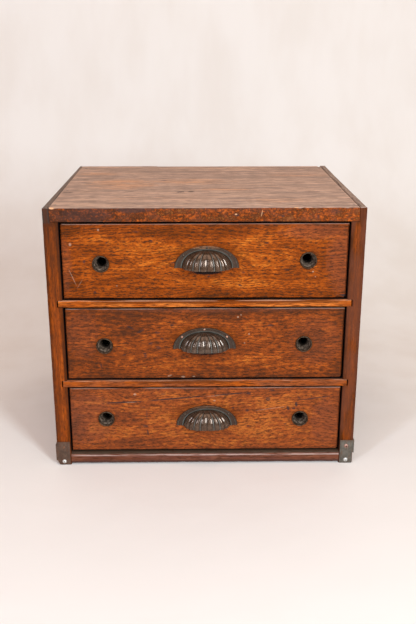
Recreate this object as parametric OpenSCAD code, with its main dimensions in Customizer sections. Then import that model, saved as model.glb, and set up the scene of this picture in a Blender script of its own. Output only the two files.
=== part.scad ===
// Tabletop chest of three drawers.
// An oak case holds thin shelves in housings. Three dovetailed drawers slide on them,
// each with a fluted shell pull and two metal eyelets in its front. Sheet-iron straps
// bind the two front feet. Millimetres, +Z up, and the drawer fronts face -Y.
// The origin is on the floor, at the middle of the whole chest with its pulls.

/* [Case] */
// Width over the two sides
case_width = 430; // [400:1:470]
// Height of the two sides
case_height = 379; // [368:1:410]
// Depth from the front edges of the sides to their back edges
case_depth = 375; // [340:1:410]
// Thickness of each side
side_thickness = 20; // [18:0.5:24]
// Thickness of the lip that each side keeps beside the top board
top_lip = 9; // [7:0.5:10]
// Width of the left lip at the back, where it has been cut narrower
left_lip_back = 4.5; // [2:0.5:10]
// Gap between the top board and each lip
top_gap = 0.4; // [0.2:0.1:1.2]
// Thickness of the top board
top_thickness = 19.5; // [16:0.5:21]
// Thickness of the bottom board
bottom_thickness = 17; // [14:0.5:19]
// Height of the bottom board above the floor
bottom_lift = 2.5; // [1:0.5:4]
// Radius of the worn upper front edge of the bottom board
bottom_round = 5; // [2:0.5:6]

/* [Shelves and back] */
// Thickness of each shelf
shelf_thickness = 9.5; // [8:0.5:11]
// Depth of the shelf housings in the sides
housing_depth = 7.5; // [5:0.5:8]
// Gap between the end of a shelf and the end of its housing
shelf_end_gap = 1.8; // [0.5:0.1:2.4]
// Play of a shelf in the height of its housing
shelf_fit = 0.1; // [0.05:0.05:0.3]
// Height of the lower drawer opening
lower_bay = 102.9; // [96:0.1:106]
// Height of the middle drawer opening
middle_bay = 109; // [100:0.1:112]
// Thickness of the back boards
back_thickness = 8; // [6:0.5:10]
// Width of the rebate in each side that takes the back boards
back_rebate = 10; // [9:0.5:12]
// Gap above each back board, and between their ends and the rebates
back_gap = 0.5; // [0.3:0.1:1]

/* [Wear of the case] */
// Length of the sound stretch of the top board's back edge, from its left end
sound_edge = 126; // [60:1:250]
// Depth of the splinter lost from the rest of that edge
splinter_depth = 5; // [2:0.5:8]
// Height of the splinter
splinter_height = 8; // [3:0.5:12]
// Width of the notch at the back right corner of the top board
notch_width = 5; // [2:0.5:8]
// Depth of that notch
notch_depth = 13; // [9:0.5:18]
// Width of the chip at the foot of the left side
foot_chip_width = 4.3; // [2:0.1:6]
// Height of that chip
foot_chip_height = 6.9; // [3:0.1:9]
// Depth of that chip behind the front edge
foot_chip_depth = 14; // [6:0.5:20]

/* [Drawers] */
// Gap at each end of a drawer front
front_side_gap = 2.5; // [1:0.1:3.5]
// Gap above a drawer front
front_top_gap = 3; // [1.5:0.1:4]
// Gap below a drawer front
front_bottom_gap = 2.9; // [1:0.1:3.5]
// Setback of the drawer fronts behind the front edges of the case
front_setback = 2.5; // [0:0.1:5]
// Thickness of a drawer front
front_thickness = 17; // [15:0.5:20]
// Wood left in front of the dovetails of a drawer front
front_lap = 5; // [4:0.5:7]
// Thickness of a drawer side
drawer_side = 10; // [8:0.5:12]
// How far the top edge of a drawer side is below the top of the front
side_drop = 2.5; // [1:0.5:5]
// Thickness of a drawer back
drawer_back = 9; // [7:0.5:12]
// How far the top edge of a drawer back is below the drawer sides
back_drop = 2; // [0.5:0.5:6]
// Thickness of a drawer bottom
drawer_bottom = 6; // [4:0.5:7]
// Height of the drawer bottom above the lower edges of the drawer sides
bottom_raise = 8.5; // [8:0.5:10]
// Depth of the groove for the bottom in a drawer side
side_groove = 4.5; // [3:0.5:5]
// Depth of the groove for the bottom in a drawer front
front_groove = 6; // [4:0.5:8]
// Play of a drawer bottom in its grooves
groove_fit = 0.2; // [0.1:0.1:0.4]
// Gap between the drawer sides and the board that they slide on
glide_gap = 0.3; // [0.2:0.1:0.5]
// Gap between a closed drawer and the back boards that stop it
stop_gap = 0.3; // [0.2:0.1:0.6]

/* [Dovetails] */
// Dovetails at each corner of a drawer
tails = 3; // [2:1:4]
// Width of the narrow end of the pins between the tails
pin_width = 5; // [4:0.5:7]
// Slope of the dovetails, as a length for each unit of spread
tail_slope = 6; // [5:0.5:8]
// Play between a tail and its socket
tail_fit = 0.1; // [0.05:0.05:0.2]

/* [Shell pulls] */
// Width of a pull over its flange
pull_width = 88; // [80:1:96]
// Height of the flange of a pull
pull_height = 30.5; // [28:0.5:34]
// Projection of a pull from the drawer front
pull_projection = 20; // [16:0.5:26]
// Width of the cup of a pull
cup_width = 67; // [58:0.5:70]
// Height of the cup of a pull above the base of the flange
cup_height = 24.5; // [20:0.5:26]
// How far the middle of the lip is below the base of the flange
lip_drop = 0.5; // [0:0.5:4]
// Thickness of the flange
flange_thickness = 2; // [1.5:0.1:3]
// Width of the raised bead around the cup
bead_width = 1.6; // [1:0.1:2]
// Height of the bead above the flange
bead_height = 1; // [0.5:0.1:1.5]
// Thickness of the wall of the cup at its grooves
cup_wall = 1.3; // [1:0.1:2]
// Number of flutes on the cup
flutes = 10; // [8:1:14]
// Depth of the grooves between the flutes
flute_depth = 1.3; // [0.4:0.1:1.4]
// Offset of each pull to the right of the middle: upper, middle and lower drawer
pull_right = [2.4, -0.9, 2.4]; // [-6:0.1:6]
// Drop of each pull's base below the middle of its front: upper, middle and lower drawer
pull_drop = [8.7, 6.7, 9.2]; // [2:0.1:12]

/* [Eyelets] */
// Distance of each eyelet from the nearer end of its drawer front
eyelet_reach = 52.5; // [32.5:0.5:72.5]
// Drop of the eyelets below the middle of the front
eyelet_drop = 1; // [-4:0.5:4]
// Offset of each left eyelet to the right of its place: upper, middle and lower drawer
left_eyelet_right = [-0.8, -0.1, -1.8]; // [-4:0.1:4]
// Height of each left eyelet above its place: upper, middle and lower drawer
left_eyelet_up = [-2.3, -1.6, 1.9]; // [-4:0.1:4]
// Offset of each right eyelet to the right of its place: upper, middle and lower drawer
right_eyelet_right = [-0.3, -2.2, -3.7]; // [-4:0.1:4]
// Height of each right eyelet above its place: upper, middle and lower drawer
right_eyelet_up = [1.9, 0, 0.9]; // [-4:0.1:4]
// Outer diameter of the front ring of an eyelet
eyelet_ring = 23.5; // [23.5:0.5:26]
// Height of the ring above the wood
eyelet_proud = 1.8; // [1:0.1:2.5]
// Chamfer on the two edges of the ring
eyelet_chamfer = 0.9; // [0.4:0.1:0.9]
// Outer diameter of the barrel of an eyelet
eyelet_barrel = 21; // [20.5:0.5:21.5]
// Diameter of the mouth of an eyelet
eyelet_mouth = 19.5; // [18:0.5:19.5]
// Depth of the shoulder inside the mouth of an eyelet
eyelet_step = 4; // [2:0.5:8]
// Diameter inside that shoulder, where an eyelet starts to narrow
eyelet_seat = 17; // [13:0.5:17.5]
// Diameter of the inner end of an eyelet
eyelet_throat = 10; // [8:0.5:12]
// Outer diameter of the clinched rim inside the drawer
eyelet_rim = 23; // [22.5:0.5:26]
// Thickness of the clinched rim
eyelet_rim_thickness = 1; // [0.8:0.1:1.5]

/* [Straps] */
// Thickness of the sheet-iron straps
strap_thickness = 1.5; // [1:0.1:2]
// Height of a strap on the front of a foot
strap_height = 37; // [32:0.5:42]
// Gap between the lower end of a strap and the floor
strap_lift = 0.5; // [0.2:0.1:1]
// Distance of a strap from the inner and outer faces of the side
strap_inset = 1; // [0.5:0.1:1.5]
// Length of the leg of a strap on the outer face of the side
strap_leg = 30; // [24:0.5:40]
// Height of the lower edge of that leg: left and right
strap_leg_low = [7.5, 17]; // [7.5:0.5:18]
// Height of the upper edge of that leg: left and right
strap_leg_high = [33, 37]; // [30:0.5:37]
// Height of the strap screws above the floor
strap_screw_height = 5.8; // [4:0.1:7]
// Height of the upper strap nails above the floor
strap_nail_height = 28; // [24:0.5:30]

/* [Nails and screws] */
// Diameter of the shank of the case and drawer nails
nail_shank = 1.8; // [1.4:0.1:2.4]
// Diameter of their heads
nail_head = 4; // [3:0.1:5]
// Thickness of their heads
nail_head_thickness = 0.8; // [0.6:0.1:1.2]
// Play around a nail or screw in the wood and metal that it passes
nail_fit = 0.05; // [0.02:0.01:0.1]
// Length of the case nails
case_nail = 42; // [36:1:50]
// Length of the back nails and strap nails
short_nail = 22; // [16:1:26]
// Length of the nails under a drawer back
drawer_nail = 20; // [16:1:26]
// Distance of the first and last nail of a row from the end of the row
nail_inset = 20; // [14:1:40]
// Nails in each row of case nails
row_nails = 4; // [3:1:5]
// Diameter of the domed heads of the pull pins
pin_head = 3.4; // [3:0.1:4]
// Height of those heads
pin_head_height = 1; // [0.8:0.1:1.3]
// Diameter of the shank of the pull pins
pin_shank = 1.3; // [1:0.1:1.6]
// Length of the pull pins behind their heads
pin_length = 13; // [10:1:15]
// Angle from the horizontal of the two outer pull pins, about the base of the pull
pin_angle = 38; // [34:1:50]
// Diameter of the domed heads of the strap fasteners
screw_head = 6.2; // [5:0.1:7]
// Height of those heads
screw_head_height = 1.6; // [1.2:0.1:2.2]
// Diameter of the screw shanks
screw_shank = 3; // [2:0.1:3.4]
// Diameter of the shank of the hollow rivet in the right strap
rivet_shank = 3.4; // [3:0.1:4]
// Diameter of the hole in the rivet
rivet_hole = 2.2; // [1.6:0.1:2.4]
// Length of the rivet behind its head
rivet_length = 12; // [8:1:18]
// Diameter of the dimple in a screw head
screw_dimple = 1.6; // [1:0.1:2]
// Length of the screws behind their heads
screw_length = 16; // [12:1:24]

/* [Hidden] */
$fn = 48;
DRAWERS = ["upper", "middle", "lower"];
DRAWER_PIECES = [
    "drawer_front", "drawer_left_side", "drawer_right_side", "drawer_back", "drawer_bottom",
    "drawer_bottom_nails", "pull", "pull_pins", "left_eyelet", "right_eyelet"
];
CASE_PIECES = [
    "left_side", "right_side", "top_board", "bottom_board", "upper_shelf", "lower_shelf",
    "upper_back_board", "middle_back_board", "lower_back_board",
    "top_nails", "left_side_nails", "right_side_nails", "back_nails",
    "left_corner_strap", "right_corner_strap", "strap_screws", "strap_nails", "strap_rivet"
];

// Cuts run past the faces that they open by this much
past = 1;

// Places across the case, from its middle
outer_x = case_width / 2;
inner_x = outer_x - side_thickness;
top_x = outer_x - top_lip - top_gap;
ledge_x = (inner_x + top_x) / 2;
shelf_x = inner_x + housing_depth - shelf_end_gap;
back_x = inner_x + back_rebate - back_gap;

// Places from front to back: the pulls reach the front of the whole, the case its back
face_reach = pull_projection - front_setback;
front_y = (face_reach - case_depth) / 2;
back_y = front_y + case_depth;
back_inner_y = back_y - back_thickness;
face_y = front_y + front_setback;

// Heights
top_z = case_height - top_thickness;
bottom_z = bottom_lift + bottom_thickness;
lower_shelf_z = bottom_z + lower_bay;
middle_z = lower_shelf_z + shelf_thickness;
upper_shelf_z = middle_z + middle_bay;
upper_z = upper_shelf_z + shelf_thickness;
bay_floor = [upper_z, middle_z, bottom_z];
bay_ceiling = [top_z, upper_shelf_z, lower_shelf_z];
lower_shelf_middle = lower_shelf_z + shelf_thickness / 2;
upper_shelf_middle = upper_shelf_z + shelf_thickness / 2;
bottom_middle = bottom_lift + bottom_thickness / 2;
// Lower edges of the three back boards, and the top board above them: they meet behind the shelves
back_seams = [bottom_lift, lower_shelf_middle, upper_shelf_middle, top_z];

// Drawers
front_x = inner_x - front_side_gap;
drawer_inner_x = front_x - drawer_side;
groove_x = drawer_inner_x + side_groove;
front_back_y = face_y + front_thickness;
drawer_end_y = back_inner_y - stop_gap;
drawer_back_y = drawer_end_y - drawer_back;
function front_low(d) = bay_floor[d] + front_bottom_gap;
function front_high(d) = bay_ceiling[d] - front_top_gap;
function front_middle(d) = (front_low(d) + front_high(d)) / 2;
function side_low(d) = bay_floor[d] + glide_gap;
function side_high(d) = front_high(d) - side_drop;
function groove_low(d) = side_low(d) + bottom_raise;
function back_low(d) = groove_low(d) + drawer_bottom;
function back_high(d) = side_high(d) - back_drop;
function pull_z(d) = front_middle(d) - pull_drop[d];
function eyelet_x(d, side) =
    side * (front_x - eyelet_reach) + (side < 0 ? left_eyelet_right[d] : right_eyelet_right[d]);
function eyelet_z(d, side) =
    front_middle(d) - eyelet_drop + (side < 0 ? left_eyelet_up[d] : right_eyelet_up[d]);

// Colours
oak = "#8a4a22";
old_top = "#8f7361";
shelf_oak = "#b5682c";
drawer_wood = "#b08a5c";
back_wood = "#8b6a48";
iron = "#55504a";
bronze = "#4a3a2e";
steel = "#c9c5bd";
copper = "#a8684a";

// ---- Nails and screws: each points down from its seat at the origin ----

module flat_nail(length, fit) {
    translate([0, 0, -nail_head_thickness])
        cylinder(d = nail_head + 2 * fit, h = nail_head_thickness);
    translate([0, 0, -length - fit]) cylinder(d = nail_shank + 2 * fit, h = length + fit);
}

module dome(diameter, height) {
    ball = (diameter * diameter / 4 + height * height) / (2 * height);
    intersection() {
        translate([0, 0, height - ball]) sphere(r = ball);
        cylinder(d = diameter, h = height);
    }
}

module shank_hole(diameter, length) {
    translate([0, 0, -length - nail_fit])
        cylinder(d = diameter + 2 * nail_fit, h = length + nail_fit + past);
}

module pull_pin() {
    dome(pin_head, pin_head_height);
    translate([0, 0, -pin_length]) cylinder(d = pin_shank, h = pin_length);
}

module strap_screw() {
    difference() {
        dome(screw_head, screw_head_height);
        cylinder(d = screw_dimple, h = screw_head_height);
    }
    translate([0, 0, -screw_length]) cylinder(d = screw_shank, h = screw_length);
}

module strap_nail() {
    dome(nail_head, nail_head_thickness);
    translate([0, 0, -short_nail]) cylinder(d = nail_shank, h = short_nail);
}

// Depths of the nails in one row behind the front edges, from the first one to the last
function nail_row(first) = [
    for (i = [0:row_nails - 1])
        first + (case_depth - back_thickness - nail_inset - first) * i / (row_nails - 1)
];

// Down through the top board into the ledges of the sides
module top_nail_set(fit = 0) {
    for (side = [-1, 1])
        for (y = nail_row(nail_inset))
            translate([side * ledge_x, front_y + y, case_height]) flat_nail(case_nail, fit);
}

// In through the left side to the ends of the shelves and of the bottom board
module left_side_nail_set(fit = 0) {
    for (z = [bottom_middle, lower_shelf_middle, upper_shelf_middle])
        for (y = nail_row(strap_leg + nail_head))
            translate([-outer_x, front_y + y, z]) rotate([0, -90, 0]) flat_nail(case_nail, fit);
}

// Forward through the ends of the back boards into the rebates
module back_nail_set(fit = 0) {
    for (board = [0:len(back_seams) - 2])
        for (z = [back_seams[board] + nail_inset, back_seams[board + 1] - nail_inset])
            for (end = [-1, 1])
                translate([end * (inner_x + back_rebate / 2), back_y, z])
                    rotate([-90, 0, 0]) flat_nail(short_nail, fit);
}

// Up through a drawer bottom into the drawer back
module drawer_nail_set(d, fit = 0) {
    y = (drawer_back_y + drawer_end_y) / 2;
    for (x = [-1, 0, 1] * (drawer_inner_x - nail_inset))
        translate([x, y, groove_low(d)]) rotate([180, 0, 0]) flat_nail(drawer_nail, fit);
}

// ---- Case ----

// Distance of the inner face of a lip from the middle of the case, at a place from front to back
function lip_x(y, back_width) =
    outer_x - top_lip - (back_width - top_lip) * (y - front_y) / case_depth;

// The left side as it stands on the left of the case; the right side is its mirror image
module side_board(lip_back) {
    near_y = front_y - past;
    far_y = back_y + past;
    difference() {
        translate([-outer_x, front_y, 0]) cube([side_thickness, case_depth, case_height]);
        translate([0, 0, top_z]) linear_extrude(height = top_thickness + past)
            polygon([[-lip_x(near_y, lip_back), near_y], [-inner_x + past, near_y],
                     [-inner_x + past, far_y], [-lip_x(far_y, lip_back), far_y]]);
        for (z = [lower_shelf_z, upper_shelf_z])
            translate([-inner_x - housing_depth, front_y - past, z])
                cube([housing_depth + past, case_depth + 2 * past, shelf_thickness + shelf_fit]);
        translate([-inner_x - back_rebate, back_inner_y, -past])
            cube([back_rebate + past, back_thickness + past, top_z + past]);
        left_side_nail_set(nail_fit);
        top_nail_set(nail_fit);
        back_nail_set(nail_fit);
    }
}

// Holes in a front foot and its strap for what fastens them together
module strap_holes(side) {
    at_strap_front(side, strap_screw_height) shank_hole(screw_shank, screw_length);
    if (side < 0) at_strap_front(side, strap_nail_height) shank_hole(nail_shank, short_nail);
    if (side > 0) at_strap_front(side, strap_nail_height) shank_hole(rivet_shank, rivet_length);
    at_strap_leg(side) shank_hole(nail_shank, short_nail);
}

module left_side() {
    color(oak) difference() {
        side_board(left_lip_back);
        strap_holes(-1);
        foot_chip();
    }
}

module right_side() {
    color(oak) difference() {
        mirror([1, 0, 0]) side_board(top_lip);
        strap_holes(1);
    }
}

// The worn lower outer corner of the left foot
module foot_chip() {
    translate([-outer_x, front_y + foot_chip_depth, 0]) rotate([90, 0, 0])
        linear_extrude(height = foot_chip_depth + strap_thickness + past)
            polygon([[-past, -past], [foot_chip_width, -past], [foot_chip_width, 0], [0, foot_chip_height],
                     [-past, foot_chip_height]]);
}

module top_board() {
    color(old_top) difference() {
        translate([0, 0, top_z]) linear_extrude(height = top_thickness)
            polygon([[-top_x, front_y], [top_x, front_y], [top_x, back_y],
                     [top_gap - lip_x(back_y, left_lip_back), back_y]]);
        translate([-top_x + sound_edge, back_y - splinter_depth, case_height - splinter_height])
            cube([2 * top_x, splinter_depth + past, splinter_height + past]);
        translate([top_x - notch_width, back_y - notch_depth, case_height - splinter_height])
            cube([notch_width + past, notch_depth + past, splinter_height + past]);
        top_nail_set(nail_fit);
    }
}

module bottom_board() {
    depth = case_depth - back_thickness;
    color(oak) difference() {
        translate([-inner_x, front_y, bottom_lift]) rotate([90, 0, 90]) linear_extrude(height = 2 * inner_x)
            union() {
                square([depth, bottom_thickness - bottom_round]);
                translate([bottom_round, 0]) square([depth - bottom_round, bottom_thickness]);
                translate([bottom_round, bottom_thickness - bottom_round]) circle(r = bottom_round);
            }
        left_side_nail_set(nail_fit);
        mirror([1, 0, 0]) left_side_nail_set(nail_fit);
    }
}

module shelf(z) {
    color(shelf_oak) difference() {
        translate([-shelf_x, front_y, z]) cube([2 * shelf_x, case_depth - back_thickness, shelf_thickness]);
        left_side_nail_set(nail_fit);
        mirror([1, 0, 0]) left_side_nail_set(nail_fit);
    }
}

// Boards are counted from the floor
module back_board(board) {
    height = back_seams[board + 1] - back_seams[board] - back_gap;
    color(back_wood) difference() {
        translate([-back_x, back_inner_y, back_seams[board]]) cube([2 * back_x, back_thickness, height]);
        back_nail_set(nail_fit);
    }
}

// ---- Straps round the front feet: side is -1 on the left and 1 on the right ----

strap_middle_x = (inner_x + outer_x) / 2;
function leg_low(side) = strap_leg_low[side < 0 ? 0 : 1];
function leg_high(side) = strap_leg_high[side < 0 ? 0 : 1];

module at_strap_front(side, z) {
    translate([side * strap_middle_x, front_y - strap_thickness, z]) rotate([90, 0, 0]) children();
}

module at_strap_leg(side) {
    middle_z = (leg_low(side) + leg_high(side)) / 2;
    translate([side * (outer_x + strap_thickness), front_y + strap_leg - nail_head, middle_z])
        rotate([0, side * 90, 0]) children();
}

// Sheet of a strap as it goes round the right foot: the plate in front, the bend and the leg
module strap_sheet(low, high) {
    front = front_y - strap_thickness;
    translate([inner_x + strap_inset, front, strap_lift])
        cube([side_thickness - 2 * strap_inset, strap_thickness, strap_height - strap_lift]);
    translate([outer_x - strap_inset - past, front, low])
        cube([strap_inset + past + strap_thickness, strap_thickness, high - low]);
    translate([outer_x, front, low])
        cube([strap_thickness, strap_thickness + strap_leg, high - low]);
}

module corner_strap(side) {
    color(iron) difference() {
        mirror([side < 0 ? 1 : 0, 0, 0]) strap_sheet(leg_low(side), leg_high(side));
        if (side < 0) foot_chip();
        strap_holes(side);
    }
}

module strap_screws() {
    color(steel) for (side = [-1, 1]) at_strap_front(side, strap_screw_height) strap_screw();
}

module strap_nails() {
    color(copper) {
        at_strap_front(-1, strap_nail_height) strap_nail();
        for (side = [-1, 1]) at_strap_leg(side) strap_nail();
    }
}

// A hollow rivet holds the upper part of the right strap
module strap_rivet() {
    color(copper) at_strap_front(1, strap_nail_height) difference() {
        union() {
            dome(screw_head, screw_head_height);
            translate([0, 0, -rivet_length]) cylinder(d = rivet_shank, h = rivet_length);
        }
        translate([0, 0, -rivet_length - past])
            cylinder(d = rivet_hole, h = rivet_length + screw_head_height + 2 * past);
    }
}

// ---- Drawers: d is 0 for the upper, 1 for the middle and 2 for the lower drawer ----

// Outline of one tail, with a play around it: y runs from its narrow root to its wide end
function tail_outline(middle, pitch, root_y, end_y, play) =
    let (
        length = abs(end_y - root_y),
        end_half = (pitch - pin_width) / 2,
        root_half = end_half - length / tail_slope,
        end = end_y + sign(end_y - root_y) * play
    )
    [
        [root_y, middle - root_half - play],
        [end, middle - end_half - play],
        [end, middle + end_half + play],
        [root_y, middle + root_half + play]
    ];
function tail_middle(low, high, i) = low + (high - low) * (2 * i + 1) / (2 * tails);

// Sockets for the tails of both sides, cut from the ends of a front or a back
module tail_sockets(low, high, root_y, end_y) {
    pitch = (high - low) / tails;
    for (end = [0, 1]) mirror([end, 0, 0])
        for (i = [0:tails - 1])
            translate([drawer_inner_x - tail_fit, 0, 0]) rotate([90, 0, 90])
                linear_extrude(height = drawer_side + tail_fit + past)
                    polygon(tail_outline(tail_middle(low, high, i), pitch, root_y, end_y, tail_fit));
}

module at_pull(d) {
    translate([pull_right[d], face_y, pull_z(d)]) children();
}

module at_eyelet(d, side) {
    translate([eyelet_x(d, side), face_y, eyelet_z(d, side)]) rotate([90, 0, 0]) children();
}

module drawer_front(d) {
    low = front_low(d);
    high = front_high(d);
    color(oak) difference() {
        translate([-front_x, face_y, low]) cube([2 * front_x, front_thickness, high - low]);
        tail_sockets(low, high, front_back_y + tail_fit, face_y + front_lap);
        translate([-groove_x, front_back_y - front_groove, groove_low(d)])
            cube([2 * groove_x, front_groove + past, drawer_bottom + groove_fit]);
        for (side = [-1, 1]) at_eyelet(d, side)
            translate([0, 0, -front_thickness - past])
                cylinder(d = eyelet_barrel + 2 * nail_fit, h = front_thickness + 2 * past);
        at_pull(d) at_pins() shank_hole(pin_shank, pin_length);
    }
}

// The sides of a drawer are mirror images of each other
module drawer_left_side(d) {
    low = side_low(d);
    high = side_high(d);
    front_pitch = (front_high(d) - front_low(d)) / tails;
    back_pitch = (back_high(d) - back_low(d)) / tails;
    outline = concat(
        [[front_back_y, low]],
        [for (i = [0:tails - 1]) each tail_outline(
            tail_middle(front_low(d), front_high(d), i), front_pitch, front_back_y, face_y + front_lap, 0)],
        [[front_back_y, high], [drawer_back_y, high]],
        [for (i = [tails - 1:-1:0]) for (k = [3:-1:0]) tail_outline(
            tail_middle(back_low(d), back_high(d), i), back_pitch, drawer_back_y, drawer_end_y, 0)[k]],
        [[drawer_back_y, back_low(d)], [drawer_end_y, back_low(d)], [drawer_end_y, low]]
    );
    color(drawer_wood) difference() {
        translate([-front_x, 0, 0]) rotate([90, 0, 90])
            linear_extrude(height = drawer_side) polygon(outline);
        translate([-groove_x, face_y, groove_low(d)])
            cube([side_groove + past, case_depth, drawer_bottom + groove_fit]);
    }
}

module drawer_right_side(d) {
    mirror([1, 0, 0]) drawer_left_side(d);
}

module drawer_back_board(d) {
    low = back_low(d);
    high = back_high(d);
    color(drawer_wood) difference() {
        translate([-front_x, drawer_back_y, low]) cube([2 * front_x, drawer_back, high - low]);
        tail_sockets(low, high, drawer_back_y - tail_fit, drawer_end_y);
        drawer_nail_set(d, nail_fit);
    }
}

module drawer_bottom_board(d) {
    x = groove_x - groove_fit;
    front = front_back_y - front_groove + groove_fit;
    color(drawer_wood) difference() {
        translate([-x, front, groove_low(d)]) cube([2 * x, drawer_end_y - front, drawer_bottom]);
        drawer_nail_set(d, nail_fit);
    }
}

module eyelet(d, side) {
    ring = eyelet_ring / 2;
    mouth = eyelet_mouth / 2;
    barrel = eyelet_barrel / 2;
    seat = eyelet_seat / 2;
    throat = eyelet_throat / 2;
    rim = eyelet_rim / 2;
    end = -front_thickness - eyelet_rim_thickness;
    edge = eyelet_proud - eyelet_chamfer;
    color(bronze) at_eyelet(d, side) rotate_extrude() polygon([
        [throat, end], [rim, end], [rim, -front_thickness], [barrel, -front_thickness],
        [barrel, 0], [ring, 0], [ring, edge], [ring - eyelet_chamfer, eyelet_proud],
        [mouth + eyelet_chamfer, eyelet_proud], [mouth, edge],
        [mouth, -eyelet_step], [seat, -eyelet_step]
    ]);
}

// ---- Shell pulls, drawn about the middle of the flange's base on the drawer front ----

// Squareness of the cup in plan and in profile: 1 is an ellipse, and less is fuller
plan_power = 0.8;
// Depth of the cup's plan as a share of its reach, at a turn from its middle
function plan_depth(turn) = pow(max(1 - pow(abs(sin(turn)), 2 / plan_power), 0), plan_power / 2);
profile_power = 0.91;
flute_steps = 4;
columns = flutes * flute_steps;
// The crests nearest the middle are the ones that reach pull_projection
crest_angle = flutes % 2 == 0 ? 90 / flutes : 0;
cup_reach = pull_projection / plan_depth(crest_angle);
rows = 7;
outline_steps = 40;

// Half an oval on the base line, in the plane of the flange
function half_oval(x, z, power) = [
    for (i = [0:outline_steps])
        let (a = 180 * i / outline_steps)
        [sign(cos(a)) * x * pow(abs(cos(a)), power), z * pow(sin(a), power)]
];

// A point of the cup: column counts across it and line up from the lip
function cup_point(column, line, x, y, z, groove) =
    let (
        turn = 180 * column / columns - 90,
        lat = 90 * line / rows,
        crest = sin(180 * (column % flute_steps) / flute_steps),
        r = pow(cos(lat), profile_power),
        cut = 1 - groove * (1 - crest),
        plan_y = plan_depth(turn)
    )
    [
        sin(turn) * r * x * cut,
        -plan_y * r * y * cut,
        z * pow(sin(lat), profile_power) - lip_drop * plan_y * (1 - sin(lat))
    ];

module cup() {
    x = cup_width / 2;
    thick = cup_wall + flute_depth;
    per_layer = (columns + 1) * rows + 1;
    outer = [for (line = [0:rows - 1]) for (c = [0:columns])
        cup_point(c, line, x, cup_reach, cup_height, flute_depth / x)];
    inner = [for (line = [0:rows - 1]) for (c = [0:columns])
        cup_point(c, line, x - thick, cup_reach - thick, cup_height - cup_wall, 0)];
    function at(layer, line, c) = layer * per_layer + line * (columns + 1) + c;
    function pole(layer) = layer * per_layer + per_layer - 1;
    skin = [for (line = [0:rows - 2]) for (c = [0:columns - 1])
        [at(0, line, c), at(0, line + 1, c), at(0, line + 1, c + 1), at(0, line, c + 1)]];
    lining = [for (line = [0:rows - 2]) for (c = [0:columns - 1])
        [at(1, line, c + 1), at(1, line + 1, c + 1), at(1, line + 1, c), at(1, line, c)]];
    caps = [for (c = [0:columns - 1]) each [
        [at(0, rows - 1, c), pole(0), at(0, rows - 1, c + 1)],
        [at(1, rows - 1, c + 1), pole(1), at(1, rows - 1, c)]]];
    lip = [for (c = [0:columns - 1]) [at(0, 0, c + 1), at(1, 0, c + 1), at(1, 0, c), at(0, 0, c)]];
    left_edge = [for (line = [0:rows - 2])
        [at(0, line, 0), at(1, line, 0), at(1, line + 1, 0), at(0, line + 1, 0)]];
    right_edge = [for (line = [0:rows - 2])
        [at(0, line + 1, columns), at(1, line + 1, columns), at(1, line, columns), at(0, line, columns)]];
    crown = [
        [at(0, rows - 1, 0), at(1, rows - 1, 0), pole(1), pole(0)],
        [pole(0), pole(1), at(1, rows - 1, columns), at(0, rows - 1, columns)]
    ];
    polyhedron(
        points = concat(outer, [[0, 0, cup_height]], inner, [[0, 0, cup_height - cup_wall]]),
        faces = concat(skin, lining, caps, lip, left_edge, right_edge, crown)
    );
}

// A flat ring on the drawer front, from the cup's wall out to an oval of the given half sizes
module pull_ring(x, z, power, thickness) {
    hole_x = cup_width / 2 - cup_wall;
    hole_z = cup_height - cup_wall / 2;
    rotate([90, 0, 0]) linear_extrude(height = thickness) difference() {
        polygon(half_oval(x, z, power));
        translate([0, -past]) square([2 * hole_x, 2 * past], center = true);
        polygon(half_oval(hole_x, hole_z, profile_power));
    }
}

module at_pins() {
    x = (pull_width + cup_width) / 4 + bead_width / 2;
    z = (pull_height + cup_height) / 2 + bead_width / 2;
    for (a = [pin_angle, 90, 180 - pin_angle])
        translate([x * cos(a), -flange_thickness, z * sin(a)]) rotate([90, 0, 0]) children();
}

module pull(d) {
    color(bronze) at_pull(d) difference() {
        union() {
            pull_ring(pull_width / 2, pull_height, 1, flange_thickness);
            pull_ring(cup_width / 2 + bead_width, cup_height + bead_width, profile_power,
                      flange_thickness + bead_height);
            cup();
        }
        at_pins() shank_hole(pin_shank, pin_length);
    }
}

module pull_pins(d) {
    color(copper) at_pull(d) at_pins() pull_pin();
}

left_side();
right_side();
top_board();
bottom_board();
shelf(upper_shelf_z);  // upper_shelf
shelf(lower_shelf_z);  // lower_shelf
back_board(2);  // upper_back_board
back_board(1);  // middle_back_board
back_board(0);  // lower_back_board
color(iron) top_nail_set();  // top_nails
color(iron) left_side_nail_set();  // left_side_nails
color(iron) mirror([1, 0, 0]) left_side_nail_set();  // right_side_nails
color(iron) back_nail_set();  // back_nails
corner_strap(-1);  // left_corner_strap
corner_strap(1);  // right_corner_strap
strap_screws();
strap_nails();
strap_rivet();
for (d = [0:2]) {
    drawer_front(d);
    drawer_left_side(d);
    drawer_right_side(d);
    drawer_back_board(d);
    drawer_bottom_board(d);
    color(iron) drawer_nail_set(d);
    pull(d);
    pull_pins(d);
    eyelet(d, -1);
    eyelet(d, 1);
}
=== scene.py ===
# A small oak tabletop chest of three drawers, with shell pulls and metal eyelets in its fronts
# and sheet iron round its front feet. Metres, +Z up, the drawer fronts towards -Y.
import math

import bmesh
import bpy
from mathutils import Matrix, Vector, noise


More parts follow.
